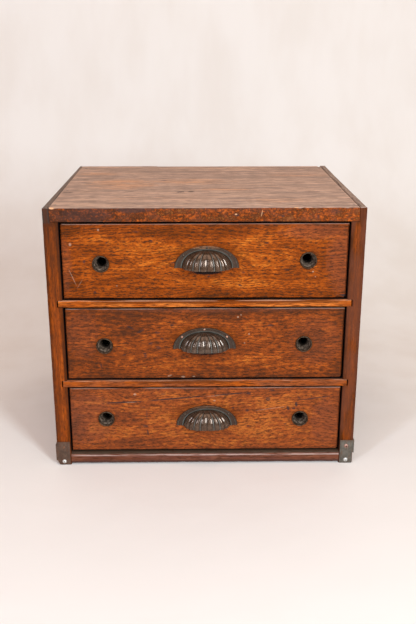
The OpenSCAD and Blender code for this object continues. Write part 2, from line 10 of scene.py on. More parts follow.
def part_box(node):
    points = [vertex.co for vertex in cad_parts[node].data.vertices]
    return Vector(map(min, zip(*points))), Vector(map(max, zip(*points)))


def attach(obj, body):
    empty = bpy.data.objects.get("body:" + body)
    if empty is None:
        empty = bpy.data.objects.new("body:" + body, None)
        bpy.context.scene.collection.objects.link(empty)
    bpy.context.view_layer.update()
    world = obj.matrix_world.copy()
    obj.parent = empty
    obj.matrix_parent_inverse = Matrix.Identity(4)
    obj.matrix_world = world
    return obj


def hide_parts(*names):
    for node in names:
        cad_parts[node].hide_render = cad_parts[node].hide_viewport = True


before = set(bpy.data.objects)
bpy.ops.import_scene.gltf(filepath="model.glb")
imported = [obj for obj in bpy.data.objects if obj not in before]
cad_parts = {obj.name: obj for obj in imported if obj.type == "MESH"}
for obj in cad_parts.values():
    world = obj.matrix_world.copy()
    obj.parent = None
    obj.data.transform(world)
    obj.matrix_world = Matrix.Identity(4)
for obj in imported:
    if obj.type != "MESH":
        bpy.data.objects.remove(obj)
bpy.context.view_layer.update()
mm = 0.001

# ---- Room ----
# A sweep of off-white cloth is both table and wall. The strongest of five soft lamps stands in
# front at the right, with weaker ones at the left, in front, behind the camera and overhead.
# A warm sky fills the shadows.

camera_place = (-0.0110, -1.23825, 0.5863)
camera_turn = (71.595, 0, -0.808)
camera_lens = 46.9

camera = bpy.data.objects.new("camera", bpy.data.cameras.new("camera"))
camera.data.lens = camera_lens
camera.location = camera_place
camera.rotation_euler = [math.radians(a) for a in camera_turn]
bpy.context.collection.objects.link(camera)
bpy.context.scene.camera = camera
bpy.context.scene.view_settings.view_transform = "Standard"

cloth_half = 2.4
cloth_front = -1.5
cloth_bend = 0.30
cloth_radius = 0.55
wall_top = 2.2
bend_steps = 32


def extruded(bm, edges):
    """Extrudes a row of edges. Gives the new vertices and the new edges between them."""
    grown = bmesh.ops.extrude_edge_only(bm, edges=edges)["geom"]
    verts = [g for g in grown if isinstance(g, bmesh.types.BMVert)]
    lines = [g for g in grown if isinstance(g, bmesh.types.BMEdge)]
    return verts, [e for e in lines if all(v in verts for v in e.verts)]


bm = bmesh.new()
ends = [bm.verts.new((x, cloth_front, 0)) for x in (-cloth_half, cloth_half)]
moved, last = extruded(bm, [bm.edges.new(ends)])
bmesh.ops.translate(bm, verts=moved, vec=(0, cloth_bend - cloth_front, 0))
swept = bmesh.ops.spin(
    bm, geom=moved + last, cent=(0, cloth_bend, cloth_radius), axis=(1, 0, 0),
    angle=math.radians(90), steps=bend_steps)["geom_last"]
moved, _ = extruded(bm, [g for g in swept if isinstance(g, bmesh.types.BMEdge)])
bmesh.ops.translate(bm, verts=moved, vec=(0, 0, wall_top - cloth_radius))
bmesh.ops.recalc_face_normals(bm, faces=bm.faces)
if sum(f.normal.z for f in bm.faces) < 0:
    bmesh.ops.reverse_faces(bm, faces=bm.faces)
cloth_mesh = bpy.data.meshes.new("cloth")
bm.to_mesh(cloth_mesh)
bm.free()
for face in cloth_mesh.polygons:
    face.use_smooth = True
cloth = bpy.data.objects.new("cloth", cloth_mesh)
bpy.context.collection.objects.link(cloth)


class Wire:
    """An output of a node in a finish. Sums written on it add Math nodes to that finish."""

    def __init__(self, tree, socket=None):
        self.tree = tree
        self.socket = socket

    def node(self, kind, inputs=(), stops=(), out=0, **settings):
        """Adds a node: its settings and ramp stops first, then its sockets' values or links."""
        made = self.tree.nodes.new("ShaderNode" + kind)
        for name, value in settings.items():
            setattr(made, name, value)
        for i, (at, colour) in enumerate(stops):
            if i >= len(made.color_ramp.elements):
                made.color_ramp.elements.new(at)
            made.color_ramp.elements[i].position = at
            made.color_ramp.elements[i].color = (*colour, 1)
        for name, value in dict(inputs).items():
            socket = made.inputs[name]
            if isinstance(value, Wire):
                self.tree.links.new(value.socket, socket)
            elif socket.type == "RGBA":
                socket.default_value = (*value, 1)
            else:
                socket.default_value = value
        return Wire(self.tree, made.outputs[out] if made.outputs else None)

    def math(self, operation, *values):
        return self.node("Math", dict(enumerate(values)), operation=operation)

    def __add__(self, other):
        return self.math("ADD", self, other)

    def __sub__(self, other):
        return self.math("SUBTRACT", self, other)

    def __rsub__(self, other):
        return self.math("SUBTRACT", other, self)

    def __mul__(self, other):
        return self.math("MULTIPLY", self, other)

    __radd__ = __add__
    __rmul__ = __mul__

    def step(self, low, high):
        """0 below low and 1 above high, with a soft change between them."""
        sockets = {"Value": self, "From Min": low, "From Max": high}
        return self.node("MapRange", sockets, interpolation_type="SMOOTHSTEP")

    def mix(self, bare, covered):
        """The colour `bare` where this mask is 0 and `covered` where it is 1."""
        return self.node("Mix", {0: self, 6: bare, 7: covered}, out=2, data_type="RGBA")


def new_finish(name):
    """A new material, and its Object coordinates in millimetres."""
    finish = bpy.data.materials.new(name)
    finish.use_nodes = True
    finish.node_tree.nodes.clear()
    place = Wire(finish.node_tree).node("TexCoord", out="Object")
    return finish, place.node("VectorMath", {0: place, "Scale": 1000}, operation="SCALE")


def cloud(place, length, width, along=0, detail=2.0, rough=0.5):
    """Noise around 0.5 whose patches are `length` along one axis and `width` across it."""
    scale = [1 / width] * 3
    scale[along] = 1 / length
    spread = place.node("Mapping", {"Vector": place, "Scale": scale})
    sockets = {"Vector": spread, "Scale": 1, "Detail": detail, "Roughness": rough}
    return spread.node("TexNoise", sockets)


def close_finish(place, height=None, depth=0.1 * mm, strength=1.0, one_sided=False, **sockets):
    """Ends a finish in its shader, with an optional relief: its height and its depth.

    A one-sided finish is clear when it is seen from behind."""
    values = {name.replace("_", " "): value for name, value in sockets.items()}
    if height is not None:
        values["Normal"] = place.node(
            "Bump", {"Height": height, "Distance": depth, "Strength": strength})
    shader = place.node("BsdfPrincipled", values)
    if one_sided:
        back = place.node("NewGeometry", out="Backfacing")
        clear = place.node("BsdfTransparent")
        shader = place.node("MixShader", {0: back, 1: shader, 2: clear})
    place.node("OutputMaterial", {"Surface": shader})


cloth_white = (0.87, 0.815, 0.775)
cloth_shade = (0.83, 0.765, 0.715)
cloth_table = (0.885, 0.825, 0.785)
table_end, wall_start = -150, 100
finish, place = new_finish("off_white_cloth")
slub = cloud(place, 260, 90, along=2, detail=3)
thread = cloud(place, 6, 1.5, along=2, detail=2)
hung = slub.step(0.35, 0.75).mix(cloth_white, cloth_shade)
depth = place.node("SeparateXYZ", {0: place}, out=1)
close_finish(
    place, height=slub * 3 + thread * 0.2, depth=1.2 * mm, strength=0.35,
    Base_Color=depth.step(table_end, wall_start).mix(cloth_table, hung), Roughness=0.95,
    Specular_IOR_Level=0.1, one_sided=True)
cloth_mesh.materials.append(finish)

lamps = {
    # name: place, aim, width and height, power, colour
    "right": ((0.95, -1.85, 1.0), (0, 0, 0.2), (0.32, 1.1), 34, (0.77, 0.92, 1.0)),
    "left": ((-1.15, -1.75, 1.0), (0, 0, 0.2), (0.18, 0.9), 15, (0.72, 0.84, 1.0)),
    "front": ((0.05, -1.95, 0.95), (0, 0, 0.2), (0.16, 1.0), 5, (0.85, 0.94, 1.0)),
    "behind_camera": ((0.3, -2.6, 0.7), (0, 0, 0.3), (1.6, 1.6), 4, (1.0, 1.0, 1.0)),
    "overhead": ((0.0, -0.9, 2.2), (0, 0, 0.2), (1.4, 1.4), 12, (1.0, 0.84, 0.72)),
}
for name, (spot, aim, size, power, colour) in lamps.items():
    lamp = bpy.data.objects.new(name, bpy.data.lights.new(name, "AREA"))
    lamp.data.shape = "RECTANGLE"
    lamp.data.size, lamp.data.size_y = size
    lamp.data.energy = power
    lamp.data.color = colour
    lamp.location = spot
    lamp.rotation_euler = (Vector(aim) - Vector(spot)).to_track_quat("-Z", "Y").to_euler()
    bpy.context.collection.objects.link(lamp)

sky_colour = (1.0, 0.755, 0.62)
sky_strength = 0.38
world = bpy.data.worlds.new("studio")
world.use_nodes = True
bpy.context.scene.world = world
sky = world.node_tree.nodes["Background"]
sky.inputs["Color"].default_value = (*sky_colour, 1)
sky.inputs["Strength"].default_value = sky_strength

# ---- Sides of the case ----
# Two 20 mm oak boards on end, housed for the shelves and rebated for the back. Dark varnish
# covers the outside and has worn to amber on the front edges; the top lips are bare end grain.

inner_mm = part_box("right_side")[0].x / mm
outer_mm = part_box("right_side")[1].x / mm
front_mm, top_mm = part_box("right_side")[0].y / mm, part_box("right_side")[1].z / mm
side_mm = outer_mm - inner_mm
seat_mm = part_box("top_board")[0].z / mm
weld = 0.001 * mm
flat_angle = math.radians(1)
crease_angle = math.radians(25)
slice_step = 7 * mm
slice_beside_arris = 1.6
short_edge = 30 * mm
arris_steps = 3
arris_reach = 1.02
coarse_fray, fine_fray = 90, 260
varnish_sheen = 0.03
glow = (0.600, 0.158, 0.016)
amber = (0.410, 0.083, 0.006)
russet = (0.250, 0.046, 0.003)
umber = (0.125, 0.026, 0.002)
treacle = (0.050, 0.014, 0.004)
plum = (0.200, 0.062, 0.034)
# soot in cracks and gouges, also painted as black shade in gaps and behind the fronts
soot_and_shade = (0.018, 0.010, 0.009)
worn_black = (0.046, 0.032, 0.026)
lip_tones = {
    # dry end grain, and the pores in it
    "left": ((0.290, 0.205, 0.160), (0.110, 0.078, 0.064)),
    "right": ((0.520, 0.360, 0.280), (0.200, 0.135, 0.105)),
}
bare_oak = (0.330, 0.205, 0.115)
# the darker bare oak, also painted as shade over the top board's underside
bare_dark_and_shade = (0.190, 0.112, 0.062)


def worn_board(name, node, body, slot, finish, arris, fray, bites=()):
    """A copy of a board with its loose triangles merged, its outer arrises rounded and frayed.

    Each bite is a place, a radius and a depth in mm, where a chip is gone from an arris."""
    low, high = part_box(node)
    bm = bmesh.new()
    bm.from_mesh(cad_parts[node].data)
    bmesh.ops.remove_doubles(bm, verts=bm.verts, dist=weld)
    bmesh.ops.dissolve_limit(bm, angle_limit=flat_angle, verts=bm.verts, edges=bm.edges)

    def faces_near(point, reach):
        """Which of the board's box faces a point is on: pairs of an axis and a direction inwards."""
        near = [(a, 1) for a in range(3) if point[a] - low[a] < reach]
        return near + [(a, -1) for a in range(3) if high[a] - point[a] < reach]

    def is_arris(edge):
        start, end = [faces_near(v.co, weld) for v in edge.verts]
        shared = [f for f in start if f in end]
        return len(shared) >= 2 and edge.is_convex and edge.calc_length() > short_edge

    bmesh.ops.bevel(
        bm, geom=[e for e in bm.edges if is_arris(e)], offset=arris, affect="EDGES",
        segments=arris_steps, profile=0.5, material=-1, clamp_overlap=True)
    size = high - low
    axis = max(range(3), key=lambda a: size[a])
    # slices along the board to fray it at, and one beside each arris that keeps its faces flat
    cuts = [(axis, slice_step * i) for i in range(1, int(size[axis] / slice_step))]
    beside = arris * slice_beside_arris
    cuts += [(a, away) for a in range(3) for away in (beside, size[a] - beside)]
    for a, away in cuts:
        normal = Vector([float(b == a) for b in range(3)])
        bmesh.ops.bisect_plane(
            bm, geom=bm.verts[:] + bm.edges[:] + bm.faces[:], dist=weld,
            plane_co=low + normal * away, plane_no=normal)
    for v in bm.verts:
        near = faces_near(v.co, arris * arris_reach)
        if len(near) < 2:
            continue
        ripple = noise.noise(v.co * coarse_fray) + 0.6 * noise.noise(v.co * fine_fray)
        depth = fray * max(0, ripple)
        for spot, reach, bite in bites:
            distance = (v.co - Vector(spot) * mm).length / (reach * mm)
            depth += bite * mm * max(0, 1 - distance ** 2)
        for a, inwards in near:
            v.co[a] += inwards * depth
    bm.normal_update()
    for face in bm.faces:
        face.smooth = True
    for edge in bm.edges:
        edge.smooth = edge.calc_face_angle(0) < crease_angle
    mesh = bpy.data.meshes.new(name)
    bm.to_mesh(mesh)
    bm.free()
    new_piece(name, mesh, body, slot, finish, node)


def new_piece(name, mesh, body, slot, finish, *nodes):
    """Puts a finished mesh in the scene: it rides on a body and stands for CAD nodes."""
    mesh.materials.clear()
    mesh.materials.append(finish)
    piece = bpy.data.objects.new(name, mesh)
    bpy.context.collection.objects.link(piece)
    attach(piece, body)
    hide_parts(*nodes)


def split(place):
    """The x, y and z of a place as three values."""
    return [place.node("SeparateXYZ", {0: place}, out=a) for a in range(3)]


def inside(value, low, high):
    """How far a value is inside a range, from its nearer end."""
    middle, half = (low + high) / 2, (high - low) / 2
    return half - (value - middle).math("ABSOLUTE", value - middle)


def waved(place, along, across, height):
    """Bends the grain: shifts a place across it by slow waves of that height."""
    wave = (cloud(place, 95, 60, along, detail=1.0) - 0.5) * (height * 4)
    return place.node("VectorMath", {0: wave, 1: across, 2: place}, operation="MULTIPLY_ADD")


def oak_grain(place, along, across, pitch, pore_length, pore_width):
    """Masks of oak, each drawn out along the grain: pores, fibres, year rings and broad clouds."""
    # the year rings are a sine across the grain, bent by long slow waves
    warp = cloud(place, 190, 42, along, detail=1.5)
    ring = place.node("VectorMath", {0: place, 1: across}, out="Value", operation="DOT_PRODUCT")
    ring = (ring + warp * 46) * (2 * math.pi / pitch)
    rings = ring.math("SINE", ring) * 0.5 + 0.5
    # short dark pores, a little closer together in the rings, and longer, softer fibres
    pores = cloud(place, pore_length, pore_width, along, detail=2.5, rough=0.62)
    pores = (pores + rings * 0.07).step(0.535, 0.640)
    fibres = cloud(place, pore_length * 3, pore_width * 1.5, along, detail=3.0, rough=0.6)
    fibres = fibres.step(0.42, 0.62)
    drift = cloud(place, 70, 22, along, detail=3.0, rough=0.6)
    return pores, fibres, rings, drift


def varnish(tone):
    """The colours of old shellac over oak, from glowing amber at 0 to almost black at 1."""
    return tone.node("ValToRGB", {0: tone}, stops=[
        (0.12, glow), (0.34, amber), (0.58, russet), (0.80, umber), (1.0, treacle)])


def spot_mask(place, spots, ragged=0.25):
    """A mask of ellipses. Each is a centre, half sizes, a turn about Y in degrees and a strength."""
    wobble = cloud(place, 2.5, 2.5, detail=2)
    mask = None
    for centre, half, turn, strength in spots:
        local = place.node(
            "Mapping", {"Vector": place, "Location": centre, "Rotation": (0, math.radians(turn), 0),
                        "Scale": half}, vector_type="TEXTURE")
        reach = local.node("VectorMath", {0: local}, out="Value", operation="LENGTH")
        reach = reach + (wobble - 0.5) * ragged * 2
        here = reach.step(1.0, 0.55) * strength
        mask = here if mask is None else mask.math("MAXIMUM", mask, here)
    return mask


def shade_behind_fronts(y, front):
    """A mask of the inside of the case just behind the drawer fronts, painted black there as shade.
    """
    return y.step(front + 46, front + 16)


def side_finish(side):
    """Varnished front edge and outer face, a bare inner face, and end grain on the top lip."""
    low, high = [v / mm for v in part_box(f"{side}_side")]
    left = side == "left"
    finish, place = new_finish(f"{side}_side_varnish")
    x, y, z = split(place)
    pores, fibres, _, drift = oak_grain(
        place, 2, (0.8, 1.0, 0.0), pitch=6.5, pore_length=9, pore_width=1.2)
    ragged = cloud(place, 9, 4, 2, detail=3)
    streak = cloud(place, 60, 3.2, 2, detail=3, rough=0.6)
    edge_x = inside(x, low.x, high.x) + (ragged - 0.5) * 5
    # the front edge: streaks of amber in its middle, dark along both arrises and at the top
    tone = 0.56 + (drift - 0.5) * 0.8 + (streak - 0.5) * 1.1
    tone = tone + edge_x.step(5.5, 1.5) * 0.34
    tone = tone + z.step(high.z - 129, high.z - 14) * (0.24 if left else 0.05)
    tone = tone + z.step(high.z - 29, high.z - 13) * (0.6 if left else 0.25)
    front_colour = varnish(tone if left else tone + 0.26)
    front_colour = (fibres * 0.35).mix(front_colour, umber)
    front_colour = (pores * 0.6).mix(front_colour, treacle)
    # plum as dull bloom, and as a painted sheen that is stronger on the right side
    bloom_and_sheen = 0.15 if left else 0.40
    front_colour = (drift.step(0.3, 0.6) * bloom_and_sheen).mix(front_colour, plum)
    # beside the end of the top board the varnish is gone and the wood is black
    lost = z.step(seat_mm - 3.5, seat_mm + 0.5) * (x - low.x).step(10.5, 8.5)
    lost = lost * (1 - fibres * 0.25) * (1 - streak.step(0.42, 0.58) * 0.45)
    front_colour = (lost * (0.9 if left else 0.2)).mix(front_colour, worn_black)
    # the broad faces: darker varnish, rubbed near the arrises
    broad = varnish(0.74 + (drift - 0.5) * 0.9)
    broad = (pores * 0.7).mix(broad, soot_and_shade)
    rubbed = (inside(y, low.y, high.y) + ragged * 8).step(7.5, 4.5) * 0.45
    broad = rubbed.mix(broad, amber)
    # the inner faces were never finished
    hidden = (outer_mm - x.math("ABSOLUTE", x)).step(side_mm - 1.7, side_mm - 0.7)
    bare = drift.step(0.3, 0.7).mix(bare_oak, bare_dark_and_shade)
    bare = (pores * 0.5).mix(bare, bare_dark_and_shade)
    # painted shade: the inner face goes black just behind the drawer fronts
    bare = shade_behind_fronts(y, low.y).mix(bare, soot_and_shade)
    broad = hidden.mix(broad, bare)
    front = (low.y + 2.2 - y).step(0, 1.0)
    colour = front.mix(broad, front_colour)
    # the top lips: bare end grain, specked with open pores
    top = z.step(high.z - 1.7, high.z - 0.7)
    specks = cloud(place, 1.6, 1.6, detail=3, rough=0.65).step(0.40, 0.62)
    grime = cloud(place, 26, 8, 1, detail=2).step(0.42, 0.62)
    lip = specks.mix(*lip_tones[side])
    lip = (grime * 0.4).mix(lip, lip_tones[side][1])
    if left:
        # it grows paler towards the back
        lip = (y.step(-40, 180) * specks * 0.45).mix(lip, lip_tones["right"][0])
    crack = x.math("ABSOLUTE", x) + (grime - 0.5) * 0.6
    crack = inside(crack, outer_mm - 8.8, outer_mm - 6.8).step(0.2, 0.7)
    lip = (crack * cloud(place, 60, 20, 1).step(0.40, 0.55) * 0.8).mix(lip, soot_and_shade)
    colour = top.mix(colour, lip)
    dry = top.math("MAXIMUM", top, hidden)
    close_finish(
        place, height=0.6 - pores * 0.6 + ragged * 0.5, depth=0.25 * mm, Base_Color=colour,
        Roughness=dry * 0.4 + 0.42 + pores * 0.1, Specular_IOR_Level=varnish_sheen)
    return finish


for side, corner_x in (("left", -outer_mm), ("right", outer_mm)):
    worn_board(
        f"{side}_case_side", f"{side}_side", "case", "case_oak", side_finish(side),
        arris=1.0 * mm, fray=0.6 * mm, bites=[((corner_x, front_mm, top_mm), 7, 1.6)])

# ---- Top board ----
# One wide oak board between the lips, nailed down. Its face has lost all varnish and gone
# grey and dry; its front edge keeps crazed dark varnish with flecks of amber showing through.

dry_tan = (0.650, 0.400, 0.280)
dry_grey = (0.380, 0.245, 0.185)
dry_warm = (0.720, 0.350, 0.180)
dry_light = (0.760, 0.500, 0.370)
dry_dark = (0.110, 0.072, 0.060)
fleck = (0.500, 0.140, 0.017)
slate = (0.055, 0.026, 0.022)
fresh_chip = (0.900, 0.470, 0.230)
# marks on the face, in millimetres: x, y, half length, half width, strength
warm_patches = [
    (-125, 5, 62, 60, 0.95), (-20, 30, 80, 30, 0.7), (-175, 105, 40, 20, 0.9),
    (150, 90, 55, 26, 0.6), (30, -42, 46, 12, 0.9), (90, -130, 60, 18, 0.5),
    (-60, -110, 90, 16, 0.4)]
grey_bands = [
    (40, 82, 140, 22, 0.6), (-80, 150, 100, 30, 0.45), (-165, 55, 46, 18, 0.5),
    (0, -176, 215, 9, 0.5), (80, -60, 60, 18, 0.35), (-195, -40, 16, 70, 0.4)]
deep_gouges = [
    (-35, -63, 8, 5.0, 1.0), (-19, -60, 6, 5.0, 0.9), (-20, -38, 5, 3.0, 0.6),
    (-186, 47, 6, 3.6, 0.7), (-140, 0, 10, 3.0, 0.6), (-107, -19, 10, 2.7, 0.6),
    (-107, -58, 9, 2.7, 0.5), (-198, -66, 11, 3.6, 0.9), (-62, 40, 6, 4.2, 0.6),
    (-172, 107, 13, 3.0, 0.6), (160, -62, 14, 2.4, 0.5), (175, -113, 16, 2.4, 0.55),
    (-150, -135, 24, 2.1, 0.45), (60, -50, 30, 2.4, 0.5), (-165, -60, 16, 2.1, 0.5),
    (142, -40, 9, 2.4, 0.5), (-150, 60, 14, 3.0, 0.5), (10, 120, 26, 3.0, 0.4)]


def face_mask(place, level, spots, sink):
    """A mask of spots on a level face, each reaching a little below it."""
    return spot_mask(
        place, [((x, y, level), (along, across, sink), 0, strength)
                for x, y, along, across, strength in spots], ragged=0.6)


low, high = [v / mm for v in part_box("top_board")]
finish, place = new_finish("top_dry_oak")
x, y, z = split(place)
# the face
pores, fibres, _, drift = oak_grain(
    place, 0, (0.0, 1.0, 0.6), pitch=19, pore_length=18, pore_width=2.6)
streak = cloud(place, 100, 20, 0, detail=5, rough=0.65)
colour = streak.step(0.38, 0.64).mix(dry_tan, dry_grey)
fine = cloud(place, 26, 5.5, 0, detail=4, rough=0.65)
warm = face_mask(place, high.z, warm_patches, 10)
colour = (warm * streak.step(0.66, 0.38)).mix(colour, dry_warm)
colour = (fibres * 0.30).mix(colour, dry_grey)
colour = (fine.step(0.52, 0.66) * 0.45).mix(colour, dry_grey)
colour = (fine.step(0.46, 0.34) * 0.5).mix(colour, dry_light)
cracks = cloud(place, 34, 3.4, 0, detail=3, rough=0.6).step(0.63, 0.70)
colour = (cracks * 0.7).mix(colour, dry_dark)
band = face_mask(place, high.z, grey_bands, 10)
colour = (band * 0.9).mix(colour, dry_grey)
colour = (pores * 0.40).mix(colour, dry_dark)
gouges = face_mask(place, high.z, deep_gouges, 5)
colour = (gouges * 0.85).mix(colour, soot_and_shade)
# the front edge
craze = cloud(place, 3.4, 2.4, 0, detail=3, rough=0.7)
blotch = cloud(place, 26, 9, 0, detail=2)
tone = 0.82 + (blotch - 0.5) * 0.9 + x.step(-40, -150) * 0.12 - x.step(60, 190) * 0.08
edge_colour = varnish(tone + (craze - 0.5) * 2.6)
flecks = (craze + (blotch - 0.5) * 0.5).step(0.57, 0.66) * x.step(-160, -60)
edge_colour = (flecks * 0.4).mix(edge_colour, fleck)
edge_colour = (cloud(place, 16, 12, 0, detail=2).step(0.40, 0.62) * 0.2).mix(edge_colour, plum)
shaded = spot_mask(place, [
    ((-158, low.y, 369), (44, 10, 13), 0, 0.55), ((-95, low.y, 376), (28, 10, 5), 0, 0.85),
    ((42, low.y, 368.7), (4, 4, 2.0), 0, 1.0), ((75, low.y, 371), (3, 4, 2), 0, 0.8),
    ((103, low.y, 367), (3, 4, 2), 0, 0.9), ((150, low.y, 366), (2, 4, 3), 0, 0.7),
    ((172, low.y, 373), (7, 4, 5), 0, 0.5), ((-20, low.y, 378.4), (220, 10, 1.6), 0, 0.8)],
    ragged=0.5)
edge_colour = (shaded * 0.85).mix(edge_colour, slate)
front = (low.y + 1.2 - y).step(0, 0.8) * z.step(high.z - 0.3, high.z - 1.3)
# the underside, darker bare oak with black just behind the fronts, both painted shade, and
# painted shade in the gap at its left end
below = z.step(high.z - 2.5, high.z - 4.0)
underside_shade = shade_behind_fronts(y, low.y).mix(bare_dark_and_shade, soot_and_shade)
colour = (below * (1 - front)).mix(colour, underside_shade)
colour = front.mix(colour, edge_colour)
end_gap_shade = x.step(low.x + 2.4, low.x + 1.2) * z.step(high.z - 0.6, high.z - 2.0)
colour = (end_gap_shade * 0.95).mix(colour, soot_and_shade)
chips = spot_mask(place, [
    ((-202, low.y, high.z - 0.8), (5, 3, 1.5), 0, 0.9),
    ((124, low.y, high.z - 0.3), (8, 2, 1.3), 0, 0.9),
    ((41, low.y, 369.6), (2, 4, 1.2), 0, 0.6), ((75.3, low.y, 371), (0.8, 4, 6), 12, 0.4)])
colour = chips.mix(colour, fresh_chip)
close_finish(
    place, height=0.5 - pores * 0.8 - gouges + craze * front * 0.6, depth=0.45 * mm,
    Base_Color=colour, Roughness=0.60 - front * 0.05 + drift * 0.2, Specular_IOR_Level=0.12)
worn_board(
    "top", "top_board", "case", "top_oak", finish, arris=1.1 * mm, fray=0.7 * mm,
    bites=[((-203, low.y, high.z), 5, 1.0), ((125, low.y, high.z), 4, 0.5),
           ((-96, low.y, high.z), 6, 0.6), ((150, low.y, high.z), 7, 0.7),
           ((190, low.y, high.z), 6, 0.9), ((-30, high.y, high.z), 9, 1.5)])

# ---- Bottom board ----
# A 17 mm oak board between the feet. Its front edge is dark along the top arris, with a painted
# highlight in a broken pale line under it, and red-brown below; the rest was never finished.

rail_dark = (0.125, 0.041, 0.027)
rail_red = (0.215, 0.076, 0.042)
rail_foot = (0.075, 0.030, 0.021)
rail_arris = (0.052, 0.030, 0.018)
highlight_pink = (0.440, 0.300, 0.260)
low, high = [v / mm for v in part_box("bottom_board")]
finish, place = new_finish("bottom_rail_varnish")
_, y, z = split(place)
pores, fibres, _, drift = oak_grain(
    place, 0, (0.0, 0.6, 1.0), pitch=5.5, pore_length=14, pore_width=1.5)
colour = drift.step(0.38, 0.66).mix(rail_dark, rail_red)
colour = (fibres * 0.4).mix(colour, umber)
colour = (pores * 0.7).mix(colour, treacle)
colour = z.step(low.z + 5.0, low.z + 1.5).mix(colour, rail_foot)
rub = cloud(place, 30, 1.6, 0, detail=3)
# painted highlight: a broken pale line on the rounded top of the front edge
highlight_line = inside(z, high.z - 7.1, high.z - 3.1).step(0.2, 1.6)
colour = (highlight_line * rub.step(0.36, 0.56) * 0.85).mix(colour, highlight_pink)
strip = z.step(high.z - 3.7, high.z - 2.3)
colour = strip.mix(colour, (pores * 0.6).mix(rail_arris, treacle))
unfinished = y.step(low.y + 12, low.y + 20)
colour = unfinished.mix(colour, (pores * 0.5).mix(bare_oak, bare_dark_and_shade))
close_finish(
    place, height=0.5 - pores * 0.6 + rub * 0.4, depth=0.3 * mm, Base_Color=colour,
    Roughness=unfinished * 0.35 + 0.45, Specular_IOR_Level=varnish_sheen * 3)
worn_board("bottom", "bottom_board", "case", "case_oak", finish, arris=0.8 * mm, fray=0.4 * mm)

# ---- Shelves ----
# Two 9.5 mm oak boards housed in the sides. Drawers have rubbed their front edges to bright
# amber; the faces are bare and stained brown where the drawers run.

honey = (0.640, 0.180, 0.030)
dull_amber = (0.250, 0.070, 0.024)
pink_rub = (0.560, 0.300, 0.190)
for level in ("upper", "lower"):
    low, high = [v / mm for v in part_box(f"{level}_shelf")]
    finish, place = new_finish(f"{level}_shelf_varnish")
    x, y, z = split(place)
    pores, fibres, _, drift = oak_grain(
        place, 0, (0.0, 1.0, 1.0), pitch=4.2, pore_length=12, pore_width=1.0)
    if level == "upper":
        colour = drift.step(0.40, 0.62).mix(honey, amber)
        middle = inside(x, -165, 205).step(0, 45)
    else:
        colour = drift.step(0.36, 0.60).mix(amber, dull_amber)
        middle = inside(x, -120, 60).step(0, 40)
    colour = (fibres * 0.6).mix(colour, russet)
    colour = (pores * 0.75).mix(colour, treacle)
    edge_noise = cloud(place, 38, 3, 0, detail=3)
    strip = (z + edge_noise * 5).step(high.z - 3.0, high.z - 0.6)
    colour = (strip * middle * 0.85).mix(colour, umber)
    rubbed = z.step(high.z - 1.5, high.z - 0.5) * cloud(place, 60, 2, 0).step(0.42, 0.60) * 0.6
    colour = rubbed.mix(colour, pink_rub)
    run = y.step(low.y + 2.5, low.y + 4.5)
    face = (pores * 0.5).mix(bare_oak, bare_dark_and_shade)
    face = (cloud(place, 90, 14, 1, detail=3).step(0.4, 0.7) * 0.6).mix(face, russet)
    # painted shade: the face goes black just behind the drawer fronts
    face = shade_behind_fronts(y, low.y).mix(face, soot_and_shade)
    colour = run.mix(colour, face)
    close_finish(
        place, height=0.5 - pores * 0.6 + edge_noise * 0.5, depth=0.25 * mm, Base_Color=colour,
        Roughness=run * 0.3 + 0.42, Specular_IOR_Level=varnish_sheen * 2)
    worn_board(
        f"{level}_drawer_shelf", f"{level}_shelf", "case", "shelf_oak", finish,
        arris=0.7 * mm, fray=0.6 * mm)

# ---- Back boards ----
# Three thin oak boards laid across the back and nailed into its rebates. They were never
# finished, and are dark with dust.

dust = (0.235, 0.165, 0.110)
dust_dark = (0.120, 0.078, 0.050)
dust_pore = (0.060, 0.039, 0.025)
finish, place = new_finish("dusty_back")
pores, _, rings, drift = oak_grain(
    place, 0, (0.0, 0.5, 1.0), pitch=9, pore_length=16, pore_width=1.6)
colour = drift.step(0.35, 0.68).mix(dust, dust_dark)
colour = (rings * 0.35).mix(colour, dust_dark)
colour = (pores * 0.6).mix(colour, dust_pore)
close_finish(
    place, height=0.5 - pores * 0.7 + drift * 0.3, depth=0.3 * mm, Base_Color=colour,
    Roughness=0.85, Specular_IOR_Level=0.25)
for level in ("upper", "middle", "lower"):
    worn_board(
        f"{level}_back", f"{level}_back_board", "case", "back_wood", finish,
        arris=0.6 * mm, fray=0.4 * mm)

# ---- Nails of the case ----
# Cut iron nails with small flat heads, driven flush through the top board, the sides and the
# back boards, and gone brown with rust.

iron_black = (0.040, 0.030, 0.026)
rust = (0.200, 0.075, 0.030)


def rusty_iron(name, clean, rusted, amount=0.5):
    """Metal with patches of rust over a share of it."""
    finish, place = new_finish(name)
    patch = cloud(place, 2.2, 2.2, detail=4, rough=0.65)
    mask = patch.step(0.62 - 0.25 * amount, 0.72 - 0.12 * amount)
    close_finish(
        place, height=patch, depth=0.2 * mm, Base_Color=mask.mix(clean, rusted),
        Metallic=0.75 - mask * 0.7, Roughness=0.5 + mask * 0.35)
    return finish


def dress(node, finish):
    """Gives a finish to the CAD node's own mesh, which stays in the scene."""
    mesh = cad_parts[node].data
    mesh.materials.clear()
    mesh.materials.append(finish)


nail_rust = rusty_iron("nail_rust", iron_black, rust)
for node in ("top_nails", "left_side_nails", "right_side_nails", "back_nails"):
    dress(node, nail_rust)

# ---- Straps round the front feet ----
# Thin sheet iron, cut with snips, bent round each foot and fixed by hand as a repair. The left
# one is brown with rust, the right one keeps a grey-brown film of old paint.

snipped_edge = 0.4 * mm
snipped_angle = math.radians(57)
shortest_snip = 2 * mm
strap_tones = {
    # bare iron, the film over it, rust
    "left": ((0.080, 0.044, 0.028), (0.125, 0.070, 0.045), (0.110, 0.045, 0.022)),
    "right": ((0.090, 0.078, 0.062), (0.145, 0.125, 0.100), (0.120, 0.065, 0.040)),
}


